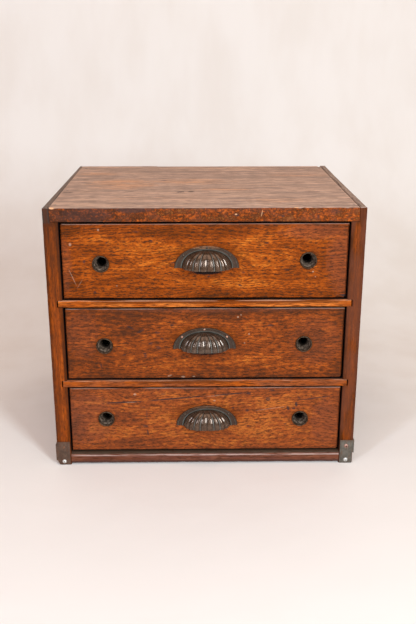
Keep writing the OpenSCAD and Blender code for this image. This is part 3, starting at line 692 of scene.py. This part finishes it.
def smooth_mesh(name, bm, crease, scale=1):
    """The mesh of a bmesh, shaded smooth but for edges that turn more than the crease."""
    mesh = bpy.data.meshes.new(name)
    bm.to_mesh(mesh)
    bm.free()
    mesh.transform(Matrix.Scale(scale, 4))
    for face in mesh.polygons:
        face.use_smooth = True
    mesh.set_sharp_from_angle(angle=math.radians(crease))
    return mesh


def strap(side, clean, film, rusted):
    """A strap of sheet iron, with rust along its upper and lower edges and its edges eased."""
    finish, place = new_finish(f"{side}_strap_iron")
    z = split(place)[2]
    low, high = [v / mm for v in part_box(f"{side}_corner_strap")]
    patch = cloud(place, 7, 7, detail=4, rough=0.62)
    grit = cloud(place, 1.2, 1.2, detail=3, rough=0.6)
    streak = cloud(place, 14, 2.4, 2, detail=3)
    colour = patch.step(0.38, 0.62).mix(clean, film)
    colour = ((streak + grit * 0.4).step(0.70, 0.86) * 0.8).mix(colour, rusted)
    edge = (inside(z, low.z, high.z) + (patch - 0.5) * 5).step(2.2, 0.4)
    colour = (edge * 0.6).mix(colour, rusted)
    close_finish(
        place, height=patch * 1.2 + grit * 0.35, depth=0.5 * mm, Base_Color=colour,
        Metallic=0.45, Roughness=0.55 + grit * 0.2)
    node = f"{side}_corner_strap"
    bm = bmesh.new()
    bm.from_mesh(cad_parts[node].data)
    bmesh.ops.remove_doubles(bm, verts=bm.verts, dist=weld)
    bmesh.ops.dissolve_limit(bm, angle_limit=flat_angle, verts=bm.verts, edges=bm.edges)
    sharp = [e for e in bm.edges if e.is_convex and e.calc_face_angle(0) > snipped_angle]
    bmesh.ops.bevel(
        bm, geom=[e for e in sharp if e.calc_length() > shortest_snip], offset=snipped_edge,
        affect="EDGES", segments=2, profile=0.5, material=-1, clamp_overlap=True)
    mesh = smooth_mesh(f"{side}_strap", bm, crease=50)
    new_piece(f"{side}_foot_strap", mesh, "case", "strap_iron", finish, node)


for side, tones in strap_tones.items():
    strap(side, *tones)

# ---- Fasteners of the straps ----
# A bright domed screw low on each foot, a rusty nail and a hollow copper rivet above them,
# and a nail in each leg.

screw_x = outer_mm - side_mm / 2
screw_z = 5.8
screw_reach = 3.3
screw_rings = [
    # share of the reach and tone: dimple of painted shade, dome, groove of shadow, rim
    (0.0, (0.10, 0.085, 0.07)), (0.26, (0.16, 0.14, 0.12)), (0.36, (0.80, 0.77, 0.73)),
    (0.62, (0.72, 0.69, 0.65)), (0.74, (0.30, 0.28, 0.26)), (0.90, (0.62, 0.60, 0.57))]
nail_brown, nail_orange = (0.12, 0.07, 0.045), (0.30, 0.11, 0.05)
rivet_pink, rivet_brown = (0.42, 0.24, 0.19), (0.16, 0.085, 0.06)

finish, place = new_finish("screw_bright")
x, y, z = split(place)
reach = place.node(
    "Mapping", {"Vector": place.node("CombineXYZ", {0: x.math("ABSOLUTE", x), 2: z}),
                "Location": (-screw_x, 0, -screw_z)})
reach = reach.node("VectorMath", {0: reach}, out="Value", operation="LENGTH")
tone = reach.node("MapRange", {"Value": reach, "From Max": screw_reach})
tone = tone.node("ValToRGB", {0: tone}, stops=screw_rings)
scuff = cloud(place, 0.8, 0.8, detail=3)
close_finish(
    place, height=scuff, depth=0.1 * mm, Base_Color=tone, Metallic=0.55,
    Roughness=0.3 + scuff * 0.25)
dress("strap_screws", finish)
dress("strap_nails", rusty_iron("strap_nail_rust", nail_brown, nail_orange))
dress("strap_rivet", rusty_iron("rivet_copper", rivet_pink, rivet_brown, 0.3))

# ---- Drawer fronts ----
# Three 17 mm oak boards, flat sawn, under shellac gone amber and brown. The ends and edges are
# dark with hands and dirt, and dents, nicks and drying cracks are scattered over them.

drawers = ("upper", "middle", "lower")
# marks on each front, in millimetres from the middle of the chest and above the table:
# x, z, half width, half height, turn in degrees, strength
front_marks = {
    "upper": {
        "dark": [
            (-186, 349, 20, 12, 0, 0.7), (-118, 308, 26, 10, 8, 0.6), (-178, 280, 16, 24, 0, 0.45),
            (-20, 345, 120, 10, 0, 0.35), (0, 262, 190, 8, 0, 0.3), (170, 300, 26, 50, 0, 0.35)],
        "bright": [
            (-85, 318, 60, 26, 0, 0.7), (75, 315, 48, 34, 0, 0.75), (60, 272, 60, 14, 6, 0.6),
            (-150, 335, 30, 10, 0, 0.6), (-70, 275, 45, 10, 0, 0.4)],
        "dents": [
            (-163, 305, 2.5, 3.0, 0, 0.8), (-63.7, 289, 2.0, 2.6, 30, 0.8),
            (5, 284, 2.6, 1.6, 0, 0.8), (-87, 265, 2.6, 1.4, 0, 0.8), (-150, 262, 2.4, 1.6, 0, 0.9),
            (83, 330, 3.0, 1.3, 0, 0.7), (-132, 331, 1.6, 1.6, 0, 0.8),
            (-72, 333, 2.4, 1.6, 0, 0.7), (110, 293, 4.0, 1.2, 0, 0.7),
            (47.6, 271, 3.6, 2.0, 20, 0.8), (52, 289, 3.0, 1.4, 0, 0.7),
            (-42, 303, 5.0, 1.6, 0, 0.6), (192, 256, 9, 2.2, 12, 1.0), (172, 312, 5, 1.3, 0, 0.5),
            (-92, 346, 6, 1.4, 0, 0.5)],
        "nicks": [
            (-180.5, 328.8, 2.2, 2.6, 0, 0.7), (-142.3, 348.5, 1.6, 2.0, 0, 0.7),
            (-179.5, 283, 0.7, 15, -22, 0.5), (-170, 274, 0.6, 9, 32, 0.3),
            (146.5, 290, 1.6, 1.2, 0, 0.9), (-120, 271, 1.2, 1.0, 0, 0.6),
            (150, 283, 1.2, 1.0, 0, 0.6)],
        "bloom_and_sheen": [
            (190, 305, 34, 62, 0, 0.4), (150, 345, 60, 14, 0, 0.4), (-190, 300, 14, 50, 0, 0.3)],
    },
    "middle": {
        "dark": [
            (-118, 225, 34, 12, 0, 0.6), (-97, 208, 28, 8, -12, 0.75), (-165, 215, 24, 24, 0, 0.5),
            (-82, 226, 22, 16, 0, 0.4), (-140, 165, 34, 26, 0, 0.35), (150, 190, 26, 30, 0, 0.4),
            (0, 234, 190, 8, 0, 0.4), (20, 186, 30, 10, 0, 0.3)],
        "bright": [
            (-70, 160, 70, 14, 0, 0.6), (70, 205, 40, 20, 10, 0.7), (60, 160, 70, 14, 0, 0.65),
            (150, 150, 30, 12, 0, 0.5), (-80, 195, 24, 8, 0, 0.5)],
        "dents": [
            (-76, 187, 4, 2.6, -20, 0.7), (-65, 181, 4, 3.0, 20, 0.7),
            (-84, 170, 2.8, 5.0, -20, 0.7), (-146, 154, 1.6, 4.0, -15, 0.7),
            (-90, 205, 9, 1.6, -28, 0.7), (90, 213, 5, 1.8, 0, 0.8), (-45.8, 214, 3.4, 1.8, 0, 0.8),
            (-60, 194, 3.0, 2.0, 0, 0.7), (61, 147, 2.0, 1.2, 0, 0.8), (-113, 170, 3, 1.6, 0, 0.6),
            (-104, 211, 9, 1.6, 30, 0.6), (-66, 203, 5, 2.4, 10, 0.6)],
        "nicks": [
            (45.4, 225.4, 1.6, 1.6, 0, 0.8), (49.5, 228.5, 1.2, 1.2, 0, 0.7),
            (61, 200.4, 1.5, 1.4, 0, 0.8), (-31, 136.6, 3.4, 1.7, 0, 0.55),
            (-50, 138.5, 4.2, 1.4, -20, 0.5), (55, 187, 1.4, 1.4, 0, 0.6),
            (-16, 137, 2.4, 1.2, 0, 0.45)],
        "bloom_and_sheen": [
            (155, 190, 52, 52, 0, 0.35), (-170, 200, 34, 50, 0, 0.35), (0, 236, 190, 5, 0, 0.4)],
    },
    "lower": {
        "dark": [
            (-172, 108, 26, 10, 0, 0.7), (-160, 88, 36, 8, -3, 0.5), (-182, 60, 14, 34, 0, 1.0),
            (-120, 72, 40, 14, 0, 0.9), (-110, 34, 60, 9, 0, 0.6), (168, 60, 26, 42, 0, 0.5),
            (30, 113, 60, 6, 4, 0.4), (-88, 80, 12, 22, 0, 0.4)],
        "bright": [
            (-55, 60, 50, 16, 0, 0.5), (85, 58, 62, 26, 0, 1.0), (90, 95, 50, 10, 6, 0.8),
            (-40, 108, 40, 8, 5, 0.5), (-130, 46, 30, 10, 0, 0.4), (40, 32, 90, 8, 0, 0.4)],
        "dents": [
            (118.8, 87, 2.2, 4.2, -25, 1.0), (130.5, 93, 2.6, 4.4, -10, 1.0),
            (127, 86.5, 3.4, 2.0, 0, 1.0), (-116, 97.6, 34, 1.5, -2.5, 1.0),
            (-40, 103.2, 52, 1.5, -4.8, 1.0), (34, 109.4, 30, 1.4, -4.4, 1.0),
            (62, 110.6, 4, 2.4, 0, 0.9), (89.8, 101.5, 4.5, 3.6, 0, 0.8),
            (95, 115.2, 5, 1.5, 0, 0.7), (-83, 50, 1.8, 5.0, -10, 0.8), (-86, 60, 5.0, 2.4, 0, 0.7),
            (60, 84, 3.4, 2.4, 0, 0.8), (40, 88, 2.4, 1.8, 0, 0.8), (-60, 110, 5.0, 1.6, 0, 0.7),
            (160, 103, 26, 1.3, -8, 0.8), (134, 103, 3.0, 1.4, 30, 0.7), (62, 59, 3.0, 1.4, 0, 0.7),
            (115, 62, 3, 1.4, 0, 0.6), (-84, 78, 1.6, 9, 0, 0.5), (-89, 90, 5, 1.4, 0, 0.5)],
        "nicks": [
            (-106, 97.4, 9, 0.6, -2.5, 0.6), (-100, 110, 2.6, 2.0, 0, 0.7),
            (94, 86.5, 30, 0.55, -8, 0.5), (12, 106.6, 14, 0.5, -4.8, 0.5),
            (13, 99.5, 2.4, 1.4, 0, 0.6)],
        "bloom_and_sheen": [
            (-168, 72, 54, 60, 0, 0.55), (172, 66, 30, 56, 0, 0.5), (0, 116, 190, 5, 0, 0.4)],
    },
}
front_look = {
    # how dark the shellac is, how bloomed, how dark at the ends, how mottled; height of the waves
    "upper": (0.48, 0.05, 0.15, 0.8, 3.5),
    "middle": (0.60, 0.20, 0.22, 1.3, 1.5),
    "lower": (0.38, 0.36, 0.26, 1.3, 4.5),
}
open_pore = (0.042, 0.017, 0.008)
dent_dark = (0.035, 0.024, 0.024)
nick_pale = (0.48, 0.30, 0.20)
wear_and_highlight = (0.38, 0.25, 0.20)
mark_sink = 6.0
face_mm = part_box("upper_drawer_front")[0].y / mm


def front_mask(place, spots, ragged):
    """A mask of spots on the face of a drawer front."""
    return spot_mask(
        place, [((x, face_mm, z), (across, mark_sink, up), turn, strength)
                for x, z, across, up, turn, strength in spots], ragged)


def front_finish(drawer, low, high):
    """Shellac on the face, dirt round the metal, painted shade under the pull and on the ends, and
    bare wood behind.
    """
    marks = front_marks[drawer]
    darkness, bloom, dusk, mottling, wave = front_look[drawer]
    finish, place = new_finish(f"{drawer}_front_shellac")
    x, y, z = split(place)
    # the shellac is dark in patches, over the ends and edges, and in the pores
    bent = waved(place, 0, (0.0, 0.6, 1.0), wave)
    pores, fibres, rings, drift = oak_grain(
        bent, 0, (0.0, 0.7, 1.0), pitch=5.2, pore_length=5.6, pore_width=0.95)
    mottle = cloud(bent, 9, 5, 0, detail=3, rough=0.6)
    tone = darkness + (drift - 0.5) * 0.9 + (mottle - 0.5) * mottling
    tone = tone + (rings - 0.5) * 0.10
    tone = tone + front_mask(place, marks["dark"], 0.5) * 0.30
    tone = tone - front_mask(place, marks["bright"], 0.5) * 0.22
    edge = inside(x, low.x, high.x)
    edge = edge.math("MINIMUM", edge, inside(z, low.z, high.z) * 1.6)
    tone = tone + (edge + (mottle - 0.5) * 10).step(20, -4) * dusk
    colour = varnish(tone)
    colour = (fibres * 0.45).mix(colour, umber)
    colour = (pores * 0.85).mix(colour, open_pore)
    # plum where the shellac has gone dull, and a painted sheen in patches towards the ends
    bloom_and_sheen = front_mask(place, marks["bloom_and_sheen"], 0.4)
    bloom_and_sheen = bloom_and_sheen.math("MAXIMUM", bloom_and_sheen, bloom)
    colour = (bloom_and_sheen * (1 - pores * 0.6)).mix(colour, plum)
    # there is dirt round the pull and the eyelets, and a painted shadow under the pull's lip
    dirt = []
    for metal in ("pull", "left_eyelet", "right_eyelet"):
        start, end = [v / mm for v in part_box(f"{drawer}_{metal}")]
        centre, size = (start + end) / 2, end - start
        dirt.append((centre.x, centre.z + 0.5, size.x * 0.72, size.z * 0.72, 0, 0.55))
    colour = front_mask(place, dirt, 0.35).mix(colour, umber)
    start, end = [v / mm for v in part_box(f"{drawer}_pull")]
    shadow_under_pull = [((start.x + end.x) / 2, start.z - 6.5, 26, 3.6, 0, 1.0)]
    colour = front_mask(place, shadow_under_pull, 0.3).mix(colour, soot_and_shade)
    dent = front_mask(place, marks["dents"], 0.35)
    colour = (dent * 0.85).mix(colour, dent_dark)
    nick = front_mask(place, marks["nicks"], 0.35)
    colour = (nick * 0.75).mix(colour, nick_pale)
    # the top arris is rubbed pale and partly painted as a highlight, the ends and edges behind the
    # face are painted black as the shade in the gaps, and the back was never finished
    arris = z.step(high.z - 1.3, high.z - 0.4) * cloud(place, 70, 4, 0, detail=3).step(0.34, 0.56)
    colour = (arris * 0.6).mix(colour, wear_and_highlight)
    ends = (low.y + 2.4 - y).step(0.6, 0)
    colour = ends.mix(colour, soot_and_shade)
    behind = y.step(high.y - 2, high.y - 1)
    bare = drift.step(0.3, 0.7).mix(bare_oak, bare_dark_and_shade)
    colour = behind.mix(colour, (pores * 0.5).mix(bare, bare_dark_and_shade))
    close_finish(
        place, height=0.6 - pores * 0.55 - fibres * 0.15 - dent * 0.9 - nick * 0.5 + mottle * 0.4,
        depth=0.28 * mm, Base_Color=colour, Specular_IOR_Level=varnish_sheen,
        Roughness=behind * 0.35 + 0.36 + pores * 0.12 + mottle * 0.1)
    return finish


for drawer in drawers:
    low, high = [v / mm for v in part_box(f"{drawer}_drawer_front")]
    worn_board(
        f"{drawer}_front", f"{drawer}_drawer_front", f"{drawer}_drawer", "front_oak",
        front_finish(drawer, low, high), arris=0.9 * mm, fray=0.55 * mm,
        bites=[((high.x, low.y, low.z), 8, 2.6), ((low.x, low.y, high.z), 4, 0.6)])

# ---- Drawer sides, backs and bottoms ----
# Thin pale boards, dovetailed together, with the bottom let into grooves and nailed up under the
# back. They are bare, yellowed with age and grubby along the top edges and the runs.

pale_wood = (0.520, 0.370, 0.215)
pale_brown = (0.370, 0.235, 0.125)
grub = (0.190, 0.115, 0.065)


def bare_wood(name, along, lean, low, high):
    """Bare wood, dirty along the upper and lower edges of the board."""
    finish, place = new_finish(name)
    z = split(place)[2]
    pores, _, rings, drift = oak_grain(
        place, along, lean, pitch=7, pore_length=14, pore_width=0.9)
    colour = drift.step(0.35, 0.68).mix(pale_wood, pale_brown)
    colour = (rings.step(0.5, 1.0) * 0.30).mix(colour, pale_brown)
    colour = (pores * 0.5).mix(colour, grub)
    stain = cloud(place, 40, 16, along, detail=4, rough=0.6)
    rim = (inside(z, low.z, high.z) + (stain - 0.5) * 14).step(7, -1)
    colour = (rim * 0.55).mix(colour, grub)
    colour = (stain.step(0.60, 0.74) * 0.4).mix(colour, grub)
    close_finish(
        place, height=0.5 - pores * 0.5 + stain * 0.3, depth=0.2 * mm, Base_Color=colour,
        Roughness=0.78, Specular_IOR_Level=0.3)
    return finish


drawer_boards = {
    # piece: axis of the grain, direction across the rings
    "left_side": (1, (1.0, 0.0, 0.8)),
    "right_side": (1, (1.0, 0.0, 0.8)),
    "back": (0, (0.0, 1.0, 0.7)),
    "bottom": (0, (0.0, 1.0, 0.3)),
}
for drawer in drawers:
    for piece, (along, lean) in drawer_boards.items():
        node = f"{drawer}_drawer_{piece}"
        low, high = [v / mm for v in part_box(node)]
        worn_board(
            f"{drawer}_{piece}_board", node, f"{drawer}_drawer", "drawer_wood",
            bare_wood(f"{drawer}_{piece}_wood", along, lean, low, high),
            arris=0.6 * mm, fray=0.3 * mm)
    dress(f"{drawer}_drawer_bottom_nails", nail_rust)

# ---- Shell pulls ----
# Cup pulls of thin cast brass in the form of a scallop shell, ten flutes on an arched flange.
# The brown patina is polished on the crests and holds verdigris in the grooves.

# in millimetres, from the middle of the flange's foot; a power below 1 squares a curve
flutes = 10
cup_half_width, cup_height = 33.5, 24.5
projection = 20
plan_power = 0.8
profile_power = 0.91
lip_drop = 0.5
flute_depth = 1.8
filled_grooves = (1, 3, 4, 6, 7, 9)
filled, thinly_filled = 0.9, 0.3
wall = 1.5
cup_rows, flute_columns = 48, 16
flange_turns = 96
joined = 0.01
tiny = 1e-5
pole = math.radians(89.9)
# rings of the flange, from its outer edge: half width, height, squareness, level, hollow
flange_rings = [
    (44.0, 30.5, 1.00, 0.0, 0.3), (44.0, 30.5, 1.00, 1.5, 0.2), (43.7, 30.2, 1.00, 2.1, 0.0),
    (43.1, 29.7, 1.00, 2.4, 0.0), (42.4, 29.1, 0.995, 2.3, 0.0), (41.8, 28.6, 0.99, 1.9, 0.7),
    (39.5, 27.8, 0.97, 1.8, 0.1), (36.6, 26.8, 0.94, 1.85, 0.3), (35.7, 26.25, 0.93, 2.1, 0.5),
    (35.3, 26.05, 0.92, 2.7, 0.7), (34.8, 25.7, 0.915, 3.0, 0.8), (34.3, 25.3, 0.91, 2.9, 0.8),
    (33.7, 24.8, 0.91, 2.3, 0.5), (32.4, 23.8, 0.91, 1.9, 0.3), (32.2, 23.6, 0.91, 0.0, 0.3)]


def plan_depth(turn):
    """Depth of the cup's plan as a share of its reach, at a turn from its middle."""
    return max(0, 1 - abs(math.sin(turn)) ** (2 / plan_power)) ** (plan_power / 2)


# the two middle crests stand half a flute beside the middle, and reach the projection
cup_reach = projection / plan_depth(math.radians(90 / flutes))


def shell_cup():
    """The fluted cup: a quarter of a ball drawn out to the shell's plan and profile."""
    bm = bmesh.new()
    hollow = bm.verts.layers.float.new("hollow")
    bmesh.ops.create_uvsphere(
        bm, u_segments=flutes * flute_columns, v_segments=cup_rows, radius=1)
    for away in ((0, 0, -1), (0, 1, 0)):
        bmesh.ops.bisect_plane(
            bm, geom=bm.verts[:] + bm.edges[:] + bm.faces[:], dist=tiny, plane_co=(0, 0, 0),
            plane_no=away, clear_outer=True)
    for v in bm.verts:
        x, y, z = v.co
        up = math.asin(max(-1, min(1, z)))
        turn = math.atan2(x, -y) if up < pole else 0
        place_in_row = (turn / math.pi + 0.5) * flutes
        crest = abs(math.sin(math.pi * place_in_row))
        width = max(math.cos(up), 0) ** profile_power
        cut = 1 - flute_depth / cup_half_width * (1 - crest)
        held = filled if round(place_in_row) in filled_grooves else thinly_filled
        v[hollow] = held * (1 - crest) ** 4
        v.co = (
            math.sin(turn) * width * cup_half_width * cut,
            -plan_depth(turn) * width * cup_reach * cut,
            cup_height * max(0, math.sin(up)) ** profile_power
            - lip_drop * plan_depth(turn) * (1 - math.sin(up)))
    bmesh.ops.remove_doubles(bm, verts=bm.verts, dist=joined)
    bmesh.ops.recalc_face_normals(bm, faces=bm.faces)
    if sum((f.normal.y * f.calc_area() for f in bm.faces), 0.0) > 0:
        bmesh.ops.reverse_faces(bm, faces=bm.faces)
    bmesh.ops.solidify(bm, geom=bm.faces, thickness=wall)
    return bm


def add_flange(bm):
    """The arched flange with its rim and bead: a half circle extruded ring by ring."""
    turn = bm.verts.layers.float.new("turn")
    hollow = bm.verts.layers.float["hollow"]
    known = set(bm.verts)
    arc = bmesh.ops.create_circle(bm, segments=2 * flange_turns, radius=1)["verts"]
    below = [v for v in arc if v.co.y < -tiny]
    bmesh.ops.delete(bm, geom=below, context="VERTS")
    first = [v for v in bm.verts if v not in known]
    for v in first:
        v[turn] = math.atan2(max(v.co.y, 0), v.co.x)
    edges = list({e for v in first for e in v.link_edges})

    def set_ring(verts, ring):
        x, z, power, level, shade = ring
        for v in verts:
            a = v[turn]
            v[hollow] = shade
            v.co = (
                math.copysign(abs(math.cos(a)) ** power, math.cos(a)) * x, -level,
                z * max(0, math.sin(a)) ** power)

    set_ring(first, flange_rings[0])
    for ring in flange_rings[1:] + flange_rings[:1]:
        verts, edges = extruded(bm, edges)
        set_ring(verts, ring)
    new_verts = [v for v in bm.verts if v not in known]
    bmesh.ops.remove_doubles(bm, verts=new_verts, dist=joined)
    new_edges = [e for e in bm.edges if e.is_boundary and e.verts[0] not in known]
    bmesh.ops.holes_fill(bm, edges=new_edges, sides=0)
    bmesh.ops.recalc_face_normals(bm, faces=[f for f in bm.faces if f.verts[0] not in known])


bm = shell_cup()
add_flange(bm)
shell = smooth_mesh("shell", bm, crease=50, scale=mm)
worn_copper = (0.240, 0.100, 0.040)
groove_shade = (0.4, 0.4, 0.4)
flange_shade = (0.7, 0.55, 0.4)


def shaded_brown(brown, shade):
    """A brown with its red, green and blue each held back by a share."""
    return tuple(b * part for b, part in zip(brown, shade))


def shell_finish(name, brown, crest_tone, residue, copper_wear, centre):
    """Patina on the crests, residue in the grooves, a dull flange worn to copper at its top."""
    finish, place = new_finish(name)
    hollow = place.node("Attribute", out="Fac", attribute_name="hollow")
    local = place.node("VectorMath", {0: place, 1: centre}, operation="SUBTRACT")
    _, y, z = split(local)
    patch = cloud(local, 6, 6, detail=4, rough=0.6)
    grit = cloud(local, 1.0, 1.0, detail=3, rough=0.6)
    colour = patch.step(0.35, 0.65).mix(brown, crest_tone)
    # darker beside the grooves: painted shade
    colour = (hollow.step(0.01, 0.12) * 0.6).mix(colour, shaded_brown(brown, groove_shade))
    worn = inside(z, 26, 31).step(0, 1.5) * y.step(-3.2, -2.6) * patch.step(0.34, 0.55)
    crust = (hollow + (patch - 0.5) * 0.5).step(0.35, 0.95)
    flat = y.step(-3.6, -2.8)
    colour = (flat * 0.75).mix(colour, shaded_brown(brown, flange_shade))
    colour = (worn * copper_wear).mix(colour, worn_copper)
    colour = (crust * 0.85).mix(colour, residue)
    close_finish(
        place, height=patch * 0.3 + grit * 0.08, depth=0.04 * mm, Base_Color=colour,
        Metallic=0.5 - crust * 0.3, Roughness=0.15 + crust * 0.45 + flat * 0.4 + grit * 0.06,
        Specular_IOR_Level=0.6)
    return finish


pull_tones = {
    # brown patina, its lighter patches, residue in the grooves, copper worn through on the flange
    "upper": ((0.065, 0.034, 0.018), (0.115, 0.064, 0.038), (0.120, 0.126, 0.108), 0.9),
    "middle": ((0.058, 0.033, 0.020), (0.105, 0.064, 0.042), (0.112, 0.118, 0.100), 0.1),
    "lower": ((0.062, 0.034, 0.020), (0.115, 0.066, 0.040), (0.116, 0.122, 0.106), 0.35),
}
pin_pink, pin_orange = (0.50, 0.27, 0.19), (0.22, 0.11, 0.075)
pin_dark, pin_brown = (0.090, 0.062, 0.045), (0.150, 0.085, 0.060)
copper_pins = rusty_iron("pin_copper", pin_pink, pin_orange, 0.3)
brown_pins = rusty_iron("pin_brown", pin_dark, pin_brown, 0.3)
for drawer, (brown, crest_tone, residue, copper_wear) in pull_tones.items():
    low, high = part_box(f"{drawer}_pull")
    base = Vector(((low.x + high.x) / 2, high.y, low.z + lip_drop * mm))
    mesh = shell.copy()
    mesh.transform(Matrix.Translation(base))
    finish = shell_finish(
        f"{drawer}_shell_brass", brown, crest_tone, residue, copper_wear, base / mm)
    new_piece(f"{drawer}_shell", mesh, f"{drawer}_drawer", "bronze", finish, f"{drawer}_pull")
    dress(f"{drawer}_pull_pins", copper_pins if drawer == "middle" else brown_pins)
bpy.data.meshes.remove(shell)

# ---- Eyelets ----
# Spun brass eyelets set through the fronts: a rounded ring outside, and a barrel behind it that
# narrows like a funnel and is clinched inside the drawer. The patina is dull, with a thin bright
# line round the ring, worn and partly a painted highlight, and painted shade deep in the barrel.

ring_turns = 72
ring_edge = 0.28
ring_corner = math.radians(30)
ring_proud = 1.8
ring_dark = (0.028, 0.014, 0.006)
ring_brown = (0.058, 0.031, 0.015)
ring_wear_and_highlight = (0.17, 0.125, 0.090)
throat_brown = (0.050, 0.031, 0.021)
throat_dust = (0.170, 0.118, 0.084)
deep_throat_shade = (0.014, 0.008, 0.005)
eyelet_profile = [
    # radius and height above the wood, round the section of the metal, in millimetres
    (5.0, -18.0), (11.5, -18.0), (11.5, -17.0), (10.5, -17.0), (10.5, 0.0), (11.75, 0.0),
    (11.75, 0.9), (10.85, ring_proud), (10.65, ring_proud), (9.75, 0.9), (9.75, -4.0),
    (8.5, -4.0)]
finish, place = new_finish("eyelet_brass")
patch = cloud(place, 5, 5, detail=4, rough=0.6)
grit = cloud(place, 1.0, 1.0, detail=3)
rubbed = cloud(place, 3, 3, detail=2)
y = split(place)[1]
crown = (y - (face_mm - ring_proud)).step(0.7, 0.1)
colour = patch.step(0.35, 0.65).mix(ring_dark, ring_brown)
# the crown is rubbed bright, and the line is partly a painted highlight
colour = (crown * rubbed.step(0.42, 0.58) * 0.4).mix(colour, ring_wear_and_highlight)
throat = y.step(face_mm - 0.5, face_mm + 1.5)
dusty = rubbed.step(0.40, 0.60).mix(throat_brown, throat_dust)
colour = throat.mix(colour, dusty)
# painted shade: darker deeper in the barrel
colour = y.step(face_mm + 9.0, face_mm + 14.5).mix(colour, deep_throat_shade)
close_finish(
    place, height=patch * 0.5 + grit * 0.3, depth=0.2 * mm, Base_Color=colour,
    Metallic=0.55 - throat * 0.4, Roughness=0.42 + throat * 0.15 + grit * 0.15,
    Specular_IOR_Level=0.25)

bm = bmesh.new()
section = [bm.verts.new((r, -h, 0)) for r, h in eyelet_profile]
loop = [bm.edges.new((a, b)) for a, b in zip(section, section[1:] + section[:1])]
bmesh.ops.spin(
    bm, geom=section + loop, cent=(0, 0, 0), axis=(0, 1, 0), angle=2 * math.pi, steps=ring_turns,
    use_merge=True)
bmesh.ops.remove_doubles(bm, verts=bm.verts, dist=joined)
bmesh.ops.recalc_face_normals(bm, faces=bm.faces)
corners = [e for e in bm.edges if e.calc_face_angle(0) > ring_corner]
bmesh.ops.bevel(
    bm, geom=corners, offset=ring_edge, affect="EDGES", segments=3, profile=0.5, material=-1,
    clamp_overlap=True)
ring = smooth_mesh("ring", bm, crease=40, scale=mm)
for drawer in drawers:
    for side in ("left", "right"):
        node = f"{drawer}_{side}_eyelet"
        low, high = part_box(node)
        middle = (low + high) / 2
        mesh = ring.copy()
        mesh.transform(Matrix.Translation((middle.x, face_mm * mm, middle.z)))
        new_piece(f"{drawer}_{side}_ring", mesh, f"{drawer}_drawer", "bronze", finish, node)
bpy.data.meshes.remove(ring)
